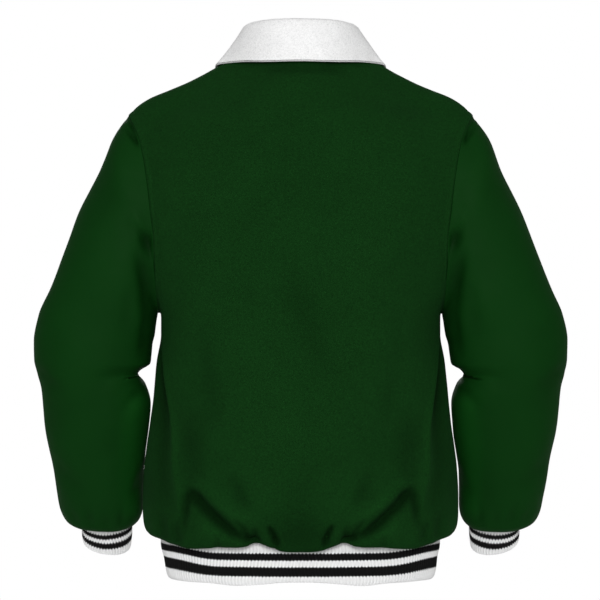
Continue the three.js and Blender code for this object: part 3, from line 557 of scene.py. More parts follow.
def front_panel(right):
    rows, cols = torso_rows(-1), column_values(-1)
    half = torso(-1, rows[:, None], cols[None, :])
    # The part past the centre: mirrored columns at even steps out to the lap's edge.
    want = np.array([-OVERLAP, -OVERLAP + 1.3, -14.4, -10.8, -7.2, -3.6])
    dense = np.linspace(0, 2.2, 240)
    strip = torso(-1, rows[:, None], dense[None, :])
    past = np.empty((len(rows), len(want), 3))
    for r in range(len(rows)):
        at = np.interp(-want, strip[r, :, 0], dense)
        past[r] = flip(torso(-1, np.full(at.shape, rows[r]), at))
    g = np.concatenate([past, half], 1)
    g = settle(g, -1)
    n = grid_normals(g, False)
    n *= -np.sign(n[..., 1:2].mean())
    x, z = g[..., 0], g[..., 2]
    under = smooth((rows - 2.2) / 1.6)[:, None]
    d = np.zeros(x.shape)
    shift = -2.0 if right else 0.0
    for pts in FRONT_RUNS:
        d += run(x, z, [(a + shift, b + (3.0 if right else 0), c * (0.92 if right else 1), w) for a, b, c, w in pts])
    for pts in FRONT_ONE:
        d += run(x, z, [(-a if right else a, b, c, w) for a, b, c, w in pts])
    d += waves(g * (np.array([-1, 1, 1]) if right else 1), 21, 95, 0.5) + waves(g * (np.array([-1, 1, 1]) if right else 1), 22, 38, 0.14)
    across = lengths(g, 1)
    to_arm, to_lap = across[:, -1:] - across, across
    up = lengths(g, 0)
    d *= under * smooth(to_arm / 14) * (0.25 + 0.75 * smooth((to_lap - 22) / 40))
    above = smooth((z - PIT_Z + 6) / 12)
    d += above * 1.1 * bell((to_arm - 3.4) / 2.8)
    d *= smooth((up[-1:] - up) / 8)
    if right:
        d -= STEP_IN * smooth((62 - x) / 36)
    out = displaced(g, n, d)
    uv = np.stack([across, lengths(g, 0)], -1) * MM
    if right:
        out = flip(out)
    # Painted shade in the troughs, painted light on the ridges.
    return out, uv, painted_shade_of(d)


# ---------- sleeves and cuffs ----------
def sections(table, level, angle):
    """Points of fractional rows of a table of sections (out, in, y, deep, tip) at angles."""
    index = np.arange(len(table))
    ox, oz, ix, iz, y, deep, tip = (cubic(index, table[:, c], level)[:, None] for c in range(7))
    c, d = np.cos(angle)[None, :], np.sin(angle)[None, :]
    e = 2 / 2.25
    pc, pd = np.sign(c) * np.abs(c) ** e, np.sign(d) * np.abs(d) ** e
    t = np.radians(tip)
    x = (ox + ix) / 2 + (ox - ix) / 2 * pc
    z = (oz + iz) / 2 + (oz - iz) / 2 * pc - np.sin(t) * deep * pd
    return np.stack([x, y + np.cos(t) * deep * pd, z], -1)


def armhole_ring(angle):
    """The armhole seam at ring angles, 0 at the shoulder tip, a quarter turn at the back."""
    k = (angle % (2 * math.pi)) / (2 * math.pi) * 2 * PIT_ROWS
    back = torso(1, PIT_ROW + np.clip(PIT_ROWS - k, 0, PIT_ROWS), np.full(k.shape, float(COLS)))
    front = torso(-1, PIT_ROW + np.clip(k - PIT_ROWS, 0, PIT_ROWS), np.full(k.shape, float(COLS)))
    return np.where((k <= PIT_ROWS)[:, None], back, front)


def ring_angles(step_deg):
    base = np.arange(0, 360, step_deg)
    extra = np.array([180 - 1.4, 180 - 0.6, 180 + 0.6, 180 + 1.4])
    return np.radians(np.unique(np.concatenate([base, extra])))


def sleeve_panel(left):
    angle = ring_angles(3.0)
    keys = np.concatenate([armhole_ring(angle)[None], sections(SLEEVE, np.arange(len(SLEEVE), dtype=float), angle)])
    # Levels spaced along the middle of the back.
    index = np.arange(len(keys))
    dense = np.linspace(0, len(keys) - 1, 1800)
    line = cubic(index, keys, dense)
    probe = line[:, len(angle) // 4]
    levels = spread(dense, probe, 3.4)
    # More levels where the outer edge runs further than the back does.
    probe = line[:, 0]
    levels = np.unique(np.concatenate([levels, spread(dense, probe, 5.0, (False, False))]))
    keep = np.concatenate([[True], np.diff(levels) > 0.012])
    levels = levels[keep]
    levels[-1] = len(keys) - 1
    g = cubic(index, keys, levels)
    n = grid_normals(g, True)
    axis = g.mean(1, keepdims=True)
    if (n * (g - axis)).sum(-1).mean() < 0:
        n = -n
    x, z = g[..., 0], g[..., 2]
    facing = np.sin(angle)[None, :] + 0 * x
    d = np.zeros(x.shape)
    for pts in SLEEVE_BACK_RUNS:
        moved = pts if left else [(a, b + 3, c * 0.92, w) for a, b, c, w in pts]
        d += run(x, z, moved) * smooth((facing + 0.12) / 0.35)
    for pts in SLEEVE_FRONT_RUNS:
        moved = pts if left else [(a, b - 2, c * 0.95, w) for a, b, c, w in pts]
        d += run(x, z, moved) * smooth((-facing + 0.12) / 0.35)
    along = lengths(g, 0)
    seed = 31 if left else 32
    d += waves(g, seed, 110, 0.7) + waves(g, seed + 2, 45, 0.22)
    inside = smooth((18.2 - levels) / 1.6)[:, None]
    d *= inside * smooth(along / 4)
    seam = np.degrees(np.abs(angle - math.pi))
    d -= 0.6 * bell(seam / 0.8)[None, :] * inside
    out = displaced(g, n, d)
    around = lengths(np.concatenate([g, g[:, :1]], 1), 1)[:, :-1]
    uv = np.stack([around, along], -1) * MM
    # Painted shade in the troughs, painted light on the ridges, the light weaker on the sleeves.
    painted_tone = painted_shade_of(d)
    painted_tone = np.where(painted_tone < 0, 0.36 * painted_tone, painted_tone)
    # Painted light along the forearm's inner side, where the body shades it; the painted shade of the creases there is
    # halved.
    inner = smooth((-np.cos(angle) - 0.3) / 0.55) * smooth((np.sin(angle) + 0.35) / 0.4)
    painted_tone = painted_tone * (1 - 0.5 * inner * smooth((-385 - z) / 30)) - inner * smooth((-378 - z) / 34) * smooth((z + 566) / 22)
    if not left:
        out = flip(out)
    return out, uv, np.clip(painted_tone, -1, 1)


def cuff_panel(left):
    ribs, per = 52, 8
    angle = np.arange(ribs * per) / (ribs * per) * 2 * math.pi
    # Even spacing round the section, so that the ribs are even too.
    dense = np.linspace(0, 2 * math.pi, 4000)
    ringp = sections(CUFF, np.array([1.5]), dense)[0]
    run_len = np.concatenate([[0], np.cumsum(np.linalg.norm(np.diff(ringp, axis=0), axis=1))])
    angle = np.interp(np.arange(ribs * per) / (ribs * per) * run_len[-1], run_len, dense)
    fine_l = np.linspace(0, len(CUFF) - 1, 400)
    mid = sections(CUFF, fine_l, np.array([math.pi / 2]))[:, 0]
    levels = spread(fine_l, mid, 2.0)
    g = sections(CUFF, levels, angle)
    n = grid_normals(g, True)
    axis = g.mean(1, keepdims=True)
    if (n * (g - axis)).sum(-1).mean() < 0:
        n = -n
    phase = np.arange(ribs * per) / per
    along = lengths(g, 0)
    rng = np.random.default_rng(41 if left else 42)
    size = 1 + 0.12 * np.repeat(rng.normal(size=ribs), per)
    rib = 0.62 * np.cos(2 * math.pi * phase) * size - 0.3
    soft = smooth(along / 4) * (0.55 + 0.45 * smooth((along[-1:] - along) / 5))
    d = rib[None, :] * soft + waves(g, 43 if left else 44, 26, 0.28) * smooth(along / 6)
    out = displaced(g, n, d)
    # The rows of stripes ride up towards the body side.
    rise = 1.2 + 2.8 * smooth((262 - g[..., 0]) / 38)
    uv = np.stack([np.broadcast_to(phase[None, :] * 0.004, along.shape), along / along[-1:] * 0.0475 + rise * MM], -1)
    if not left:
        out = flip(out)
    return out, uv, g if left else flip(g)


# ---------- waistband ----------
def band_panel():
    ribs, per = 226, 7
    n_cols = ribs * per + 1
    share_d = np.linspace(0, 1, 6000)

    def ring(half, deep, z, dip, share):
        lap = np.arcsin((OVERLAP / half) ** (SQUARE / 2))
        a = -lap + share * (2 * math.pi + 2 * lap)
        s, c = np.sin(a), np.cos(a)
        x = half * np.sign(s) * np.abs(s) ** (2 / SQUARE)
        y = -deep * np.sign(c) * np.abs(c) ** (2 / SQUARE)
        under = np.where(share > 0.75, smooth((x + 62) / 36), 0)
        y = y + under * STEP_IN
        zz = z - dip * (BAND_DIP["deep"] * bell((np.abs(x) - BAND_DIP["x"]) / BAND_DIP["wide"]) + BAND_DIP["side"] * smooth((np.abs(x) - 100) / 50))
        return np.stack([x, y, zz], -1)

    probe = ring(177.0, 113.5, -604.0, 0.4, share_d)
    along_d = np.concatenate([[0], np.cumsum(np.linalg.norm(np.diff(probe, axis=0), axis=1))])
    share = np.interp(np.linspace(0, along_d[-1], n_cols), along_d, share_d)
    index = np.arange(len(BAND))
    fine_l = np.linspace(0, len(BAND) - 1, 600)
    prof = cubic(index, BAND, fine_l)
    levels = spread(fine_l, np.stack([prof[:, 2], prof[:, 0], 0 * prof[:, 0]], -1), 2.9)
    b = cubic(index, BAND, levels)
    g = ring(b[:, 1:2], b[:, 2:3], b[:, 0:1], b[:, 3:4], share[None, :])
    n = grid_normals(g, False)
    if (n * g * np.array([1, 1, 0])).sum(-1).mean() < 0:
        n = -n
    phase = np.arange(n_cols) / per
    along = lengths(g, 0)
    rng = np.random.default_rng(51)
    size = 1 + 0.12 * np.repeat(rng.normal(size=ribs + 1), per)[:n_cols]
    rib = 0.5 * np.cos(2 * math.pi * phase) * size - 0.3
    soft = smooth(along / 4) * (0.5 + 0.5 * smooth((along[-1:] - along) / 6))
    d = rib[None, :] * soft + waves(g, 52, 60, 0.5) * smooth(along / 12)
    out = displaced(g, n, d)
    # The rows of stripes ride up at the two flanks.
    rise = 7.0 * smooth((np.abs(g[..., 0]) - 106) / 66) * np.clip((66 - along) / 30, 0, 1)
    uv = np.stack([np.broadcast_to(phase[None, :] * 0.0046, along.shape), (along + rise) * MM], -1)
    return out, uv, g


# ---------- collar ----------
def patches(side):
    rows = np.arange(PIT_ROW + 4, TOP_ROW + 1)
    half = torso(side, rows[:, None].astype(float), np.arange(COLS + 1)[None, :].astype(float))
    a, b, c, d = half[:-1, :-1], half[:-1, 1:], half[1:, :-1], half[1:, 1:]
    n = np.cross(b - c, d - a)
    flat = (n * np.array([0.2, side, 0.6])).sum(-1) < 0
    n = unit(np.where(flat[..., None], -n, n))
    ps, ns = [], []
    for u in (0.125, 0.375, 0.625, 0.875):
        for v in (0.125, 0.375, 0.625, 0.875):
            ps.append((a * (1 - u) + b * u) * (1 - v) + (c * (1 - u) + d * u) * v)
            ns.append(n)
    return np.concatenate([p.reshape(-1, 3) for p in ps]), np.concatenate([q.reshape(-1, 3) for q in ns])


BODY = {1: patches(1), -1: patches(-1)}
ALL_P = np.concatenate([BODY[1][0], BODY[-1][0]])
ALL_N = np.concatenate([BODY[1][1], BODY[-1][1]])


def off_body(p):
    far = np.linalg.norm(ALL_P - p, axis=1)
    near = np.argsort(far)[:5]
    w = 1 / (far[near] + 1) ** 3
    n = (ALL_N[near] * w[:, None]).sum(0)
    gap = (w * ((p - ALL_P[near]) * ALL_N[near]).sum(1)).sum() / w.sum()
    return n / np.linalg.norm(n), gap


def collar_section(share):
    deg = share * 176
    side = 1 if deg <= 90 else -1
    a = math.radians(deg)
    seam = neck_point(side, np.array(a if side > 0 else math.pi - a))
    out = unit(np.array([math.sin(a) * NECK["back"], math.cos(a) * NECK["half"], 0]))
    stand, lean, ex, ez = (float(col(COLLAR, c, np.array(float(deg)))) for c in (1, 2, 3, 4))
    up = np.array([0, 0, 1.0])
    foot = seam + up * (COLLAR_PLY * 0.2 + SEAM_GAP) - out * (COLLAR_PLY / 2 + 0.3)
    fold = seam + up * stand - out * lean
    radius = min(4.2, stand * 0.42 + 0.6)
    ps, ns = BODY[side]
    k = np.hypot(ps[:, 0] - ex, ps[:, 2] - ez).argmin()
    edge = np.array([ex, ps[k, 1], ez]) + ns[k] * COLLAR_LIFT
    shoulder = fold + out * radius * 2 - up * radius * 0.9
    full = 6 - 5 * math.exp(-(((deg - 85) / 32) ** 2))
    bulge = fold * 0.5 + edge * 0.5 + out * full + up * full
    pts = [foot, foot * 0.5 + fold * 0.5, fold - up * radius, fold + out * radius * 0.8 + up * 0.35 * radius, shoulder]
    for k in range(1, 7):
        t = k / 6
        p = shoulder * (1 - t) ** 2 + bulge * 2 * t * (1 - t) + edge * t * t
        for _ in range(5):
            n, gap = off_body(p)
            if gap < COLLAR_LIFT + 1:
                p = p + n * (COLLAR_LIFT + 1 - gap)
        pts.append(p)
    return np.array(pts)


def through(keys, values, axis_step):
    """Smooth curve through the first axis of keys by chord length, sampled at fractional keys."""
    k = keys.shape[0]
    tangent = np.empty_like(keys)
    chord = np.linalg.norm(np.diff(keys, axis=0), axis=-1, keepdims=True) + 1e-9
    slope = np.diff(keys, axis=0) / chord
    tangent[1:-1] = (slope[:-1] * chord[1:] + slope[1:] * chord[:-1]) / (chord[1:] + chord[:-1])
    tangent[0], tangent[-1] = 1.5 * slope[0] - 0.5 * tangent[1], 1.5 * slope[-1] - 0.5 * tangent[-2]
    i = np.clip(np.floor(values).astype(int), 0, k - 2)
    s = (values - i).reshape((-1,) + (1,) * (keys.ndim - 1))
    h = chord[i]
    p0, p1, m0, m1 = keys[i], keys[i + 1], tangent[i] * h, tangent[i + 1] * h
    return p0 + m0 * s + (3 * (p1 - p0) - 2 * m0 - m1) * s * s + (2 * (p0 - p1) + m0 + m1) * s ** 3


def collar_panel():
    half = np.array([collar_section(k / COLLAR_STEPS) for k in range(COLLAR_STEPS + 1)])
    keys = np.concatenate([flip(half[:0:-1]), half])  # sections by profile points
    # Evens the fall between neighbouring sections.
    for _ in range(2):
        avg = keys.copy()
        avg[1:-1] = (keys[:-2] + 2 * keys[1:-1] + keys[2:]) / 4
        keys[:, 4:] = avg[:, 4:]
    prof = keys.transpose(1, 0, 2)
    fine_p = np.linspace(0, prof.shape[0] - 1, 600)
    line = through(prof, fine_p, None)[:, keys.shape[0] // 2]
    levels = spread(fine_p, line, 2.4)
    g = through(prof, levels, None)
    fine_c = np.linspace(0, keys.shape[0] - 1, 1200)
    probe = through(g.transpose(1, 0, 2), fine_c, None)[:, int(len(levels) * 0.5)]
    cols = spread(fine_c, probe, 2.6)
    g = through(g.transpose(1, 0, 2), cols, None).transpose(1, 0, 2)
    n = grid_normals(g, False)
    across, along = lengths(g, 1), lengths(g, 0)
    to_end = np.minimum(across, across[:, -1:] - across)
    down = along[-1:] - along
    d = waves(g, 61, 46, 0.35) * smooth(along / 10) + waves(g, 62, 18, 0.1) * smooth(along / 10)
    # The unevenness fades out towards the outer edge.
    rim = np.minimum(down, to_end)
    out = displaced(g, n, d * smooth(down / 8 + 0.3))
    uv = np.stack([across - across[:, across.shape[1] // 2][:, None], along], -1) * MM
    return out, uv, rim


# ---------- materials ----------
def new_material(name):
    m = bpy.data.materials.new(name)
    m.use_nodes = True
    nt = m.node_tree
    nt.nodes.clear()
    out = nt.nodes.new("ShaderNodeOutputMaterial")
    p = nt.nodes.new("ShaderNodeBsdfPrincipled")
    nt.links.new(p.outputs[0], out.inputs[0])
    return m, nt, p


def node(nt, kind, inputs=None, **props):
    n = nt.nodes.new(kind)
    for k, v in props.items():
        setattr(n, k, v)
    for k, v in (inputs or {}).items():
        if isinstance(v, bpy.types.NodeSocket):
            nt.links.new(v, n.inputs[k])
        else:
            n.inputs[k].default_value = v
    return n


def math_node(nt, op, a, b=None, clamp=False):
    return node(nt, "ShaderNodeMath", {0: a, **({1: b} if b is not None else {})}, operation=op, use_clamp=clamp).outputs[0]


def noise(nt, vec, scale, detail=2.0, rough=0.5, distort=0.0):
    return node(nt, "ShaderNodeTexNoise", {"Vector": vec, "Scale": scale, "Detail": detail, "Roughness": rough, "Distortion": distort}).outputs["Fac"]


def ramp(nt, fac, stops):
    r = node(nt, "ShaderNodeValToRGB", {0: fac})
    cr = r.color_ramp
    while len(cr.elements) > len(stops):
        cr.elements.remove(cr.elements[-1])
    while len(cr.elements) < len(stops):
        cr.elements.new(0.5)
    for e, (pos, colour) in zip(cr.elements, stops):
        e.position = pos
        e.color = (*colour, 1)
    return r.outputs[0]


def scaled(colour, k):
    return tuple(min(1.0, c * k) for c in colour)


def mix(nt, fac, a, b, mode="MIX"):
    n = node(nt, "ShaderNodeMix", data_type="RGBA", blend_type=mode)
    for k, v in ((0, fac), (6, a), (7, b)):
        if isinstance(v, bpy.types.NodeSocket):
            nt.links.new(v, n.inputs[k])
        else:
            n.inputs[k].default_value = v if k == 0 else (*v, 1)
    return n.outputs[2]


def painted_fold_tone(nt, colour, low, high):
    """Multiplies the colour by painted shade where the cloth lies in a trough and by painted light where it rides on a
    ridge.
    """
    painted_tone = node(nt, "ShaderNodeAttribute", attribute_name="PaintedShadeAndLight").outputs["Fac"]
    fac = math_node(nt, "ADD", math_node(nt, "MULTIPLY", painted_tone, 0.5), 0.5)
    tone = ramp(nt, fac, [(0.0, (high,) * 3), (0.5, (1.0, 1.0, 1.0)), (1.0, (low,) * 3)])
    return mix(nt, 1.0, colour, tone, "MULTIPLY")


def melton(name, colour, contrast, specular, sheen, sheen_tint, bump_height):
    """Napped wool: a felted surface of short tangled fibres, a little uneven all over."""
    m, nt, p = new_material(name)
    vec = node(nt, "ShaderNodeTexCoord").outputs["Object"]
    nap_and_painted_shade = noise(nt, vec, 560, 4, 0.7, 0.8)
    fibre = noise(nt, vec, 1500, 3, 0.7, 2.2)
    cloud = noise(nt, vec, 26, 3, 0.55)
    both = math_node(nt, "ADD", math_node(nt, "MULTIPLY", nap_and_painted_shade, 0.62), math_node(nt, "MULTIPLY", fibre, 0.38))
    base = ramp(nt, both, [(0.3, scaled(colour, 1 - contrast)), (0.5, colour), (0.72, scaled(colour, 1 + contrast * 1.15))])
    soft = ramp(nt, cloud, [(0.3, (0.93, 0.93, 0.93)), (0.7, (1.0, 1.0, 1.0))])
    # The base colour carries painted shade in the folds and painted light on their ridges, from the points' values.
    nt.links.new(painted_fold_tone(nt, mix(nt, 1.0, base, soft, "MULTIPLY"), 0.42, 1.34), p.inputs["Base Color"])
    p.inputs["Roughness"].default_value = 0.93
    p.inputs["Specular IOR Level"].default_value = specular
    p.inputs["Sheen Weight"].default_value = sheen
    p.inputs["Sheen Roughness"].default_value = 0.55
    p.inputs["Sheen Tint"].default_value = (*sheen_tint, 1)
    b = node(nt, "ShaderNodeBump", {"Strength": 0.5, "Distance": bump_height, "Height": both})
    nt.links.new(b.outputs[0], p.inputs["Normal"])
    return m


def smooth_cloth(name, colour):
    """Dyed smooth matte coated cloth: a very fine closed grain with a few soft pores."""
    m, nt, p = new_material(name)
    vec = node(nt, "ShaderNodeTexCoord").outputs["Object"]
    cells = node(nt, "ShaderNodeTexVoronoi", {"Vector": vec, "Scale": 760.0}, feature="DISTANCE_TO_EDGE").outputs["Distance"]
    fine_n = noise(nt, vec, 900, 3, 0.6)
    cloud = noise(nt, vec, 14, 3, 0.5)
    base = ramp(nt, cloud, [(0.3, scaled(colour, 0.98)), (0.7, scaled(colour, 1.02))])
    grain = ramp(nt, fine_n, [(0.3, (0.96, 0.96, 0.96)), (0.7, (1, 1, 1))])
    # The base colour carries painted shade in the folds and painted light on their ridges, from the points' values.
    nt.links.new(painted_fold_tone(nt, mix(nt, 1.0, base, grain, "MULTIPLY"), 0.5, 1.7), p.inputs["Base Color"])
    rough = node(nt, "ShaderNodeMapRange", {"Value": noise(nt, vec, 60, 3, 0.55), "From Min": 0.3, "From Max": 0.7, "To Min": 0.58, "To Max": 0.68}).outputs[0]
    nt.links.new(rough, p.inputs["Roughness"])
    p.inputs["Specular IOR Level"].default_value = 0.03
    p.inputs["Sheen Weight"].default_value = 0.025
    p.inputs["Sheen Roughness"].default_value = 0.4
    p.inputs["Sheen Tint"].default_value = (0.06, 0.5, 0.08, 1)
    h = math_node(nt, "ADD", math_node(nt, "MULTIPLY", cells, 1.6), math_node(nt, "MULTIPLY", fine_n, 0.5))
    b = node(nt, "ShaderNodeBump", {"Strength": 0.22, "Distance": 0.00025, "Height": h})
    nt.links.new(b.outputs[0], p.inputs["Normal"])
    return m


def rib_knit(name, pitch, white, black, stripes):
    """Rib knit from the piece's own coordinates: u runs round it, v down from its seam. stripes are (from, to) in v."""
    m, nt, p = new_material(name)
    uv = node(nt, "ShaderNodeUVMap", uv_map="Knit").outputs[0]
    sep = node(nt, "ShaderNodeSeparateXYZ", {0: uv})
    u, v = sep.outputs[0], sep.outputs[1]
    vec = node(nt, "ShaderNodeTexCoord").outputs["Object"]
    # One wale's place, -0.5 to 0.5, with the raised rib at 0.
    wale = math_node(nt, "SUBTRACT", math_node(nt, "FRACT", math_node(nt, "ADD", math_node(nt, "DIVIDE", u, pitch), 0.5)), 0.5)
    off = math_node(nt, "ABSOLUTE", wale)
    # Stitches: little vs down each rib.
    course = math_node(nt, "ADD", math_node(nt, "DIVIDE", v, 0.00165), math_node(nt, "MULTIPLY", off, 2.2))
    stitch = math_node(nt, "SINE", math_node(nt, "MULTIPLY", course, 2 * math.pi))
    fuzz = noise(nt, vec, 1300, 4, 0.7, 1.2)
    patch = noise(nt, vec, 240, 3, 0.6)
    # The stripes' edges step with the ribs.
    wobble = math_node(nt, "MULTIPLY", math_node(nt, "SUBTRACT", patch, 0.5), 0.0016)
    step = math_node(nt, "ADD", v, math_node(nt, "ADD", math_node(nt, "MULTIPLY", off, 0.0032), wobble))
    mask = None
    for lo, hi in stripes:
        a = node(nt, "ShaderNodeMapRange", {"Value": step, "From Min": lo, "From Max": lo + 0.0007, "To Min": 0.0, "To Max": 1.0}).outputs[0]
        b = node(nt, "ShaderNodeMapRange", {"Value": step, "From Min": hi, "From Max": hi + 0.0007, "To Min": 1.0, "To Max": 0.0}).outputs[0]
        ab = math_node(nt, "MULTIPLY", a, b)
        mask = ab if mask is None else math_node(nt, "MAXIMUM", mask, ab)
    # Painted shade in the grooves between the ribs.
    shade = ramp(nt, off, [(0.0, (1, 1, 1)), (0.28, (0.99, 0.99, 0.99)), (0.5, (0.93, 0.93, 0.93))])
    light = ramp(nt, fuzz, [(0.3, scaled(white, 0.93)), (0.7, scaled(white, 1.03))])
    dark = ramp(nt, fuzz, [(0.3, scaled(black, 0.7)), (0.7, scaled(black, 1.6))])
    base = mix(nt, mask, light, dark)
    nt.links.new(mix(nt, 1.0, base, shade, "MULTIPLY"), p.inputs["Base Color"])
    p.inputs["Roughness"].default_value = 0.9
    p.inputs["Specular IOR Level"].default_value = 0.05
    p.inputs["Sheen Weight"].default_value = 0.015
    p.inputs["Sheen Roughness"].default_value = 0.5
    p.inputs["Sheen Tint"].default_value = (0.9, 0.9, 0.9, 1)
    h = math_node(nt, "ADD", math_node(nt, "MULTIPLY", stitch, 0.22), math_node(nt, "MULTIPLY", fuzz, 0.7))
    b = node(nt, "ShaderNodeBump", {"Strength": 0.45, "Distance": 0.0005, "Height": h})
    nt.links.new(b.outputs[0], p.inputs["Normal"])
    return m


def snap_finish(name):
    m, nt, p = new_material(name)
    vec = node(nt, "ShaderNodeTexCoord").outputs["Object"]
    base = ramp(nt, noise(nt, vec, 160, 3, 0.5), [(0.3, (0.80, 0.80, 0.79)), (0.7, (0.86, 0.86, 0.85))])
    nt.links.new(base, p.inputs["Base Color"])
    rough = node(nt, "ShaderNodeMapRange", {"Value": noise(nt, vec, 420, 3, 0.6), "From Min": 0.3, "From Max": 0.7, "To Min": 0.24, "To Max": 0.36}).outputs[0]
    nt.links.new(rough, p.inputs["Roughness"])
    p.inputs["Coat Weight"].default_value = 0.25
    p.inputs["Coat Roughness"].default_value = 0.15
    b = node(nt, "ShaderNodeBump", {"Strength": 0.1, "Distance": 0.0001, "Height": noise(nt, vec, 900, 2, 0.5)})
    nt.links.new(b.outputs[0], p.inputs["Normal"])
    return m


GREEN = (0.0038, 0.0285, 0.0045)
BODY_WOOL = melton("body_wool", GREEN, 0.62, 0.03, 0.03, (0.12, 0.5, 0.16), 0.0009)
SLEEVE_CLOTH = smooth_cloth("sleeve_smooth", (0.0026, 0.0308, 0.0035))
COLLAR_WOOL = melton("collar_wool", (0.83, 0.83, 0.83), 0.34, 0.08, 0.05, (0.9, 0.9, 0.9), 0.0012)
BAND_KNIT = rib_knit("rib_band", 0.0046, (0.78, 0.78, 0.78), (0.0045, 0.0045, 0.0045), [(0.0211, 0.0302), (0.0384, 0.0506)])
CUFF_KNIT = rib_knit("rib_cuff", 0.004, (0.79, 0.79, 0.79), (0.005, 0.005, 0.005), [(0.0238, 0.0297), (0.0345, 0.0421)])
SNAP_FINISH = snap_finish("snap_cap")

# ---------- pieces ----------
def outward_sign(g, closed, side_of):
    """+1 if the grid's own normals point away from side_of(g), else -1."""
    n = grid_normals(g, closed)
    return 1 if (n * (g - side_of(g))).sum(-1).mean() > 0 else -1


body_axis = lambda g: g * np.array([0.2, 0, 1])
ring_axis = lambda g: g.mean(1, keepdims=True) + 0 * g


def place(name, ob):
    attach(ob, "root")
    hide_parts(name)
    return ob


g, uv, nap_and_painted_shade = back_panel()
place("back", shell("cloth_back", g, uv, False, 0, CLOTH, BODY_WOOL, sign=outward_sign(g, False, body_axis), nap_and_painted_shade=nap_and_painted_shade))
for name, right in (("front_left", False), ("front_right", True)):
    g, uv, nap_and_painted_shade = front_panel(right)
    place(name, shell("cloth_" + name, g, uv, False, 0, CLOTH, BODY_WOOL, sign=outward_sign(g, False, body_axis), nap_and_painted_shade=nap_and_painted_shade))
for name, left in (("sleeve_left", True), ("sleeve_right", False)):
    g, uv, nap_and_painted_shade = sleeve_panel(left)
    place(name, shell("cloth_" + name, g, uv, True, 0, CLOTH, SLEEVE_CLOTH, sign=outward_sign(g, True, ring_axis), nap_and_painted_shade=nap_and_painted_shade))
for name, left in (("cuff_left", True), ("cuff_right", False)):
    g, uv, base = cuff_panel(left)
    place(name, shell("knit_" + name, g, uv, True, 0, RIB - 0.6, CUFF_KNIT, base=base, sign=outward_sign(g, True, ring_axis)))
g, uv, base = band_panel()
place("waistband", shell("knit_waistband", g, uv, False, 0, RIB - 0.6, BAND_KNIT, base=base, sign=outward_sign(g, False, body_axis)))
g, uv, rim = collar_panel()
place("collar", shell("wool_collar", g, uv, False, COLLAR_PLY / 2, COLLAR_PLY / 2, COLLAR_WOOL, sign=1))


# ---------- snaps ----------
def snap_cap(name, number):
    """A domed cap with a rolled rim, turned about its axis and set where the frame has it."""
    low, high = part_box(name)
    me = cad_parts[name].data
    co = np.array([v.co for v in me.vertices], float)
    centre = (co.min(0) + co.max(0)) / 2
    # The cap's flat foot gives its axis: the direction in which its points spread least.
    _, _, axes = np.linalg.svd(co - co.mean(0), full_matrices=False)
    axis = axes[2]
    if axis[1] > 0:
        axis = -axis
    along = (co - co.mean(0)) @ axis
    foot = co.mean(0) + axis * along.min()
    side = unit(np.cross(axis, [0, 0, 1.0]))
    up = np.cross(side, axis)
    r, t = 7.6 * MM, 2.6 * MM
    profile = [(0, 0), (0.80, 0), (0.93, 0.02), (0.985, 0.10), (1.0, 0.25), (0.992, 0.42), (0.965, 0.56), (0.925, 0.655), (0.885, 0.69), (0.85, 0.685), (0.825, 0.67), (0.80, 0.69),
               (0.74, 0.76), (0.62, 0.85), (0.45, 0.93), (0.25, 0.985), (0.10, 0.998), (0, 1.0)]
    seg = 64
    verts, faces = [foot, foot + axis * t], []
    rings = profile[1:-1]
    for pr, pt in rings:
        for k in range(seg):
            a = 2 * math.pi * k / seg
            verts.append(foot + axis * pt * t + (side * math.cos(a) + up * math.sin(a)) * pr * r)
    ring = lambda j, k: 2 + j * seg + k % seg
    for k in range(seg):
        faces.append((0, ring(0, k), ring(0, k + 1)))
        faces.append((1, ring(len(rings) - 1, k + 1), ring(len(rings) - 1, k)))
        for j in range(len(rings) - 1):
            faces.append((ring(j, k), ring(j + 1, k), ring(j + 1, k + 1), ring(j, k + 1)))
    mesh = bpy.data.meshes.new("snap_shape_%d" % number)
    mesh.from_pydata([tuple(v) for v in verts], [], faces)
    mesh.update()
    for poly in mesh.polygons:
        poly.use_smooth = True
    ob = bpy.data.objects.new("cap_%d" % number, mesh)
    bpy.context.scene.collection.objects.link(ob)
    mesh.materials.append(SNAP_FINISH)
    return place(name, ob)


for k in range(1, 8):
    snap_cap("snap_%d" % k, k)

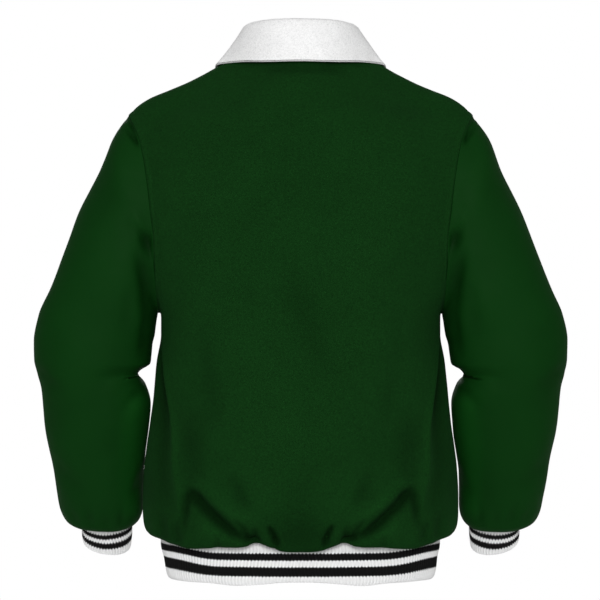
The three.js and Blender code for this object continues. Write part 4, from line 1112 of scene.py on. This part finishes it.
# ---------- stage, lights, camera ----------
def pale_floor():
    m, nt, p = new_material("pale_floor")
    vec = node(nt, "ShaderNodeTexCoord").outputs["Object"]
    nt.links.new(ramp(nt, noise(nt, vec, 3, 2, 0.5), [(0.3, (0.80, 0.80, 0.80)), (0.7, (0.84, 0.84, 0.84))]), p.inputs["Base Color"])
    p.inputs["Roughness"].default_value = 0.9
    me = bpy.data.meshes.new("floor")
    s, n = 1.35, 64
    z = -0.83
    pts = [(0, 0, z)] + [(s * math.cos(2 * math.pi * k / n), s * math.sin(2 * math.pi * k / n), z) for k in range(n)]
    me.from_pydata(pts, [], [(0, 1 + k, 1 + (k + 1) % n) for k in range(n)])
    me.materials.append(m)
    ob = bpy.data.objects.new("floor", me)
    bpy.context.scene.collection.objects.link(ob)


pale_floor()


def area_light(name, place_at, aim, size, power):
    data = bpy.data.lights.new(name, "AREA")
    data.shape = "SQUARE"
    data.size = size
    data.energy = power
    ob = bpy.data.objects.new(name, data)
    ob.location = place_at
    ob.rotation_euler = (Vector(aim) - Vector(place_at)).to_track_quat("-Z", "Y").to_euler()
    bpy.context.scene.collection.objects.link(ob)


AIM = (0, 0, -0.3)
area_light("key", (0.0, 4.2, 0.9), AIM, 1.4, 119)
area_light("key_front", (0.3, -3.9, 1.3), AIM, 1.6, 100)
area_light("side_left", (2.4, 2.6, 1.7), AIM, 1.4, 18)
area_light("side_right", (-2.4, 2.6, 1.7), AIM, 1.4, 18)

world = bpy.data.worlds.new("studio")
world.use_nodes = True
wn = world.node_tree
wn.nodes.clear()
wout = wn.nodes.new("ShaderNodeOutputWorld")
seen, lit = (wn.nodes.new("ShaderNodeBackground") for _ in range(2))
for bg, strength in ((seen, 1.0), (lit, 0.34)):
    bg.inputs[0].default_value = (1, 1, 1, 1)
    bg.inputs[1].default_value = strength
rays, either = wn.nodes.new("ShaderNodeLightPath"), wn.nodes.new("ShaderNodeMixShader")
wn.links.new(rays.outputs["Is Camera Ray"], either.inputs[0])
wn.links.new(lit.outputs[0], either.inputs[1])
wn.links.new(seen.outputs[0], either.inputs[2])
wn.links.new(either.outputs[0], wout.inputs[0])
bpy.context.scene.world = world
bpy.context.scene.view_settings.view_transform = "Standard"
bpy.context.scene.view_settings.look = "None"

cam = bpy.data.cameras.new("camera")
cam.sensor_width = 36
cam.lens = 36 * 3.8 / 0.78
cam.clip_end = 50
cam_ob = bpy.data.objects.new("camera", cam)
cam_ob.location = (0.0009, 3.8, -0.273)
cam_ob.rotation_euler = (math.pi / 2, 0, math.pi)
bpy.context.scene.collection.objects.link(cam_ob)
bpy.context.scene.camera = cam_ob
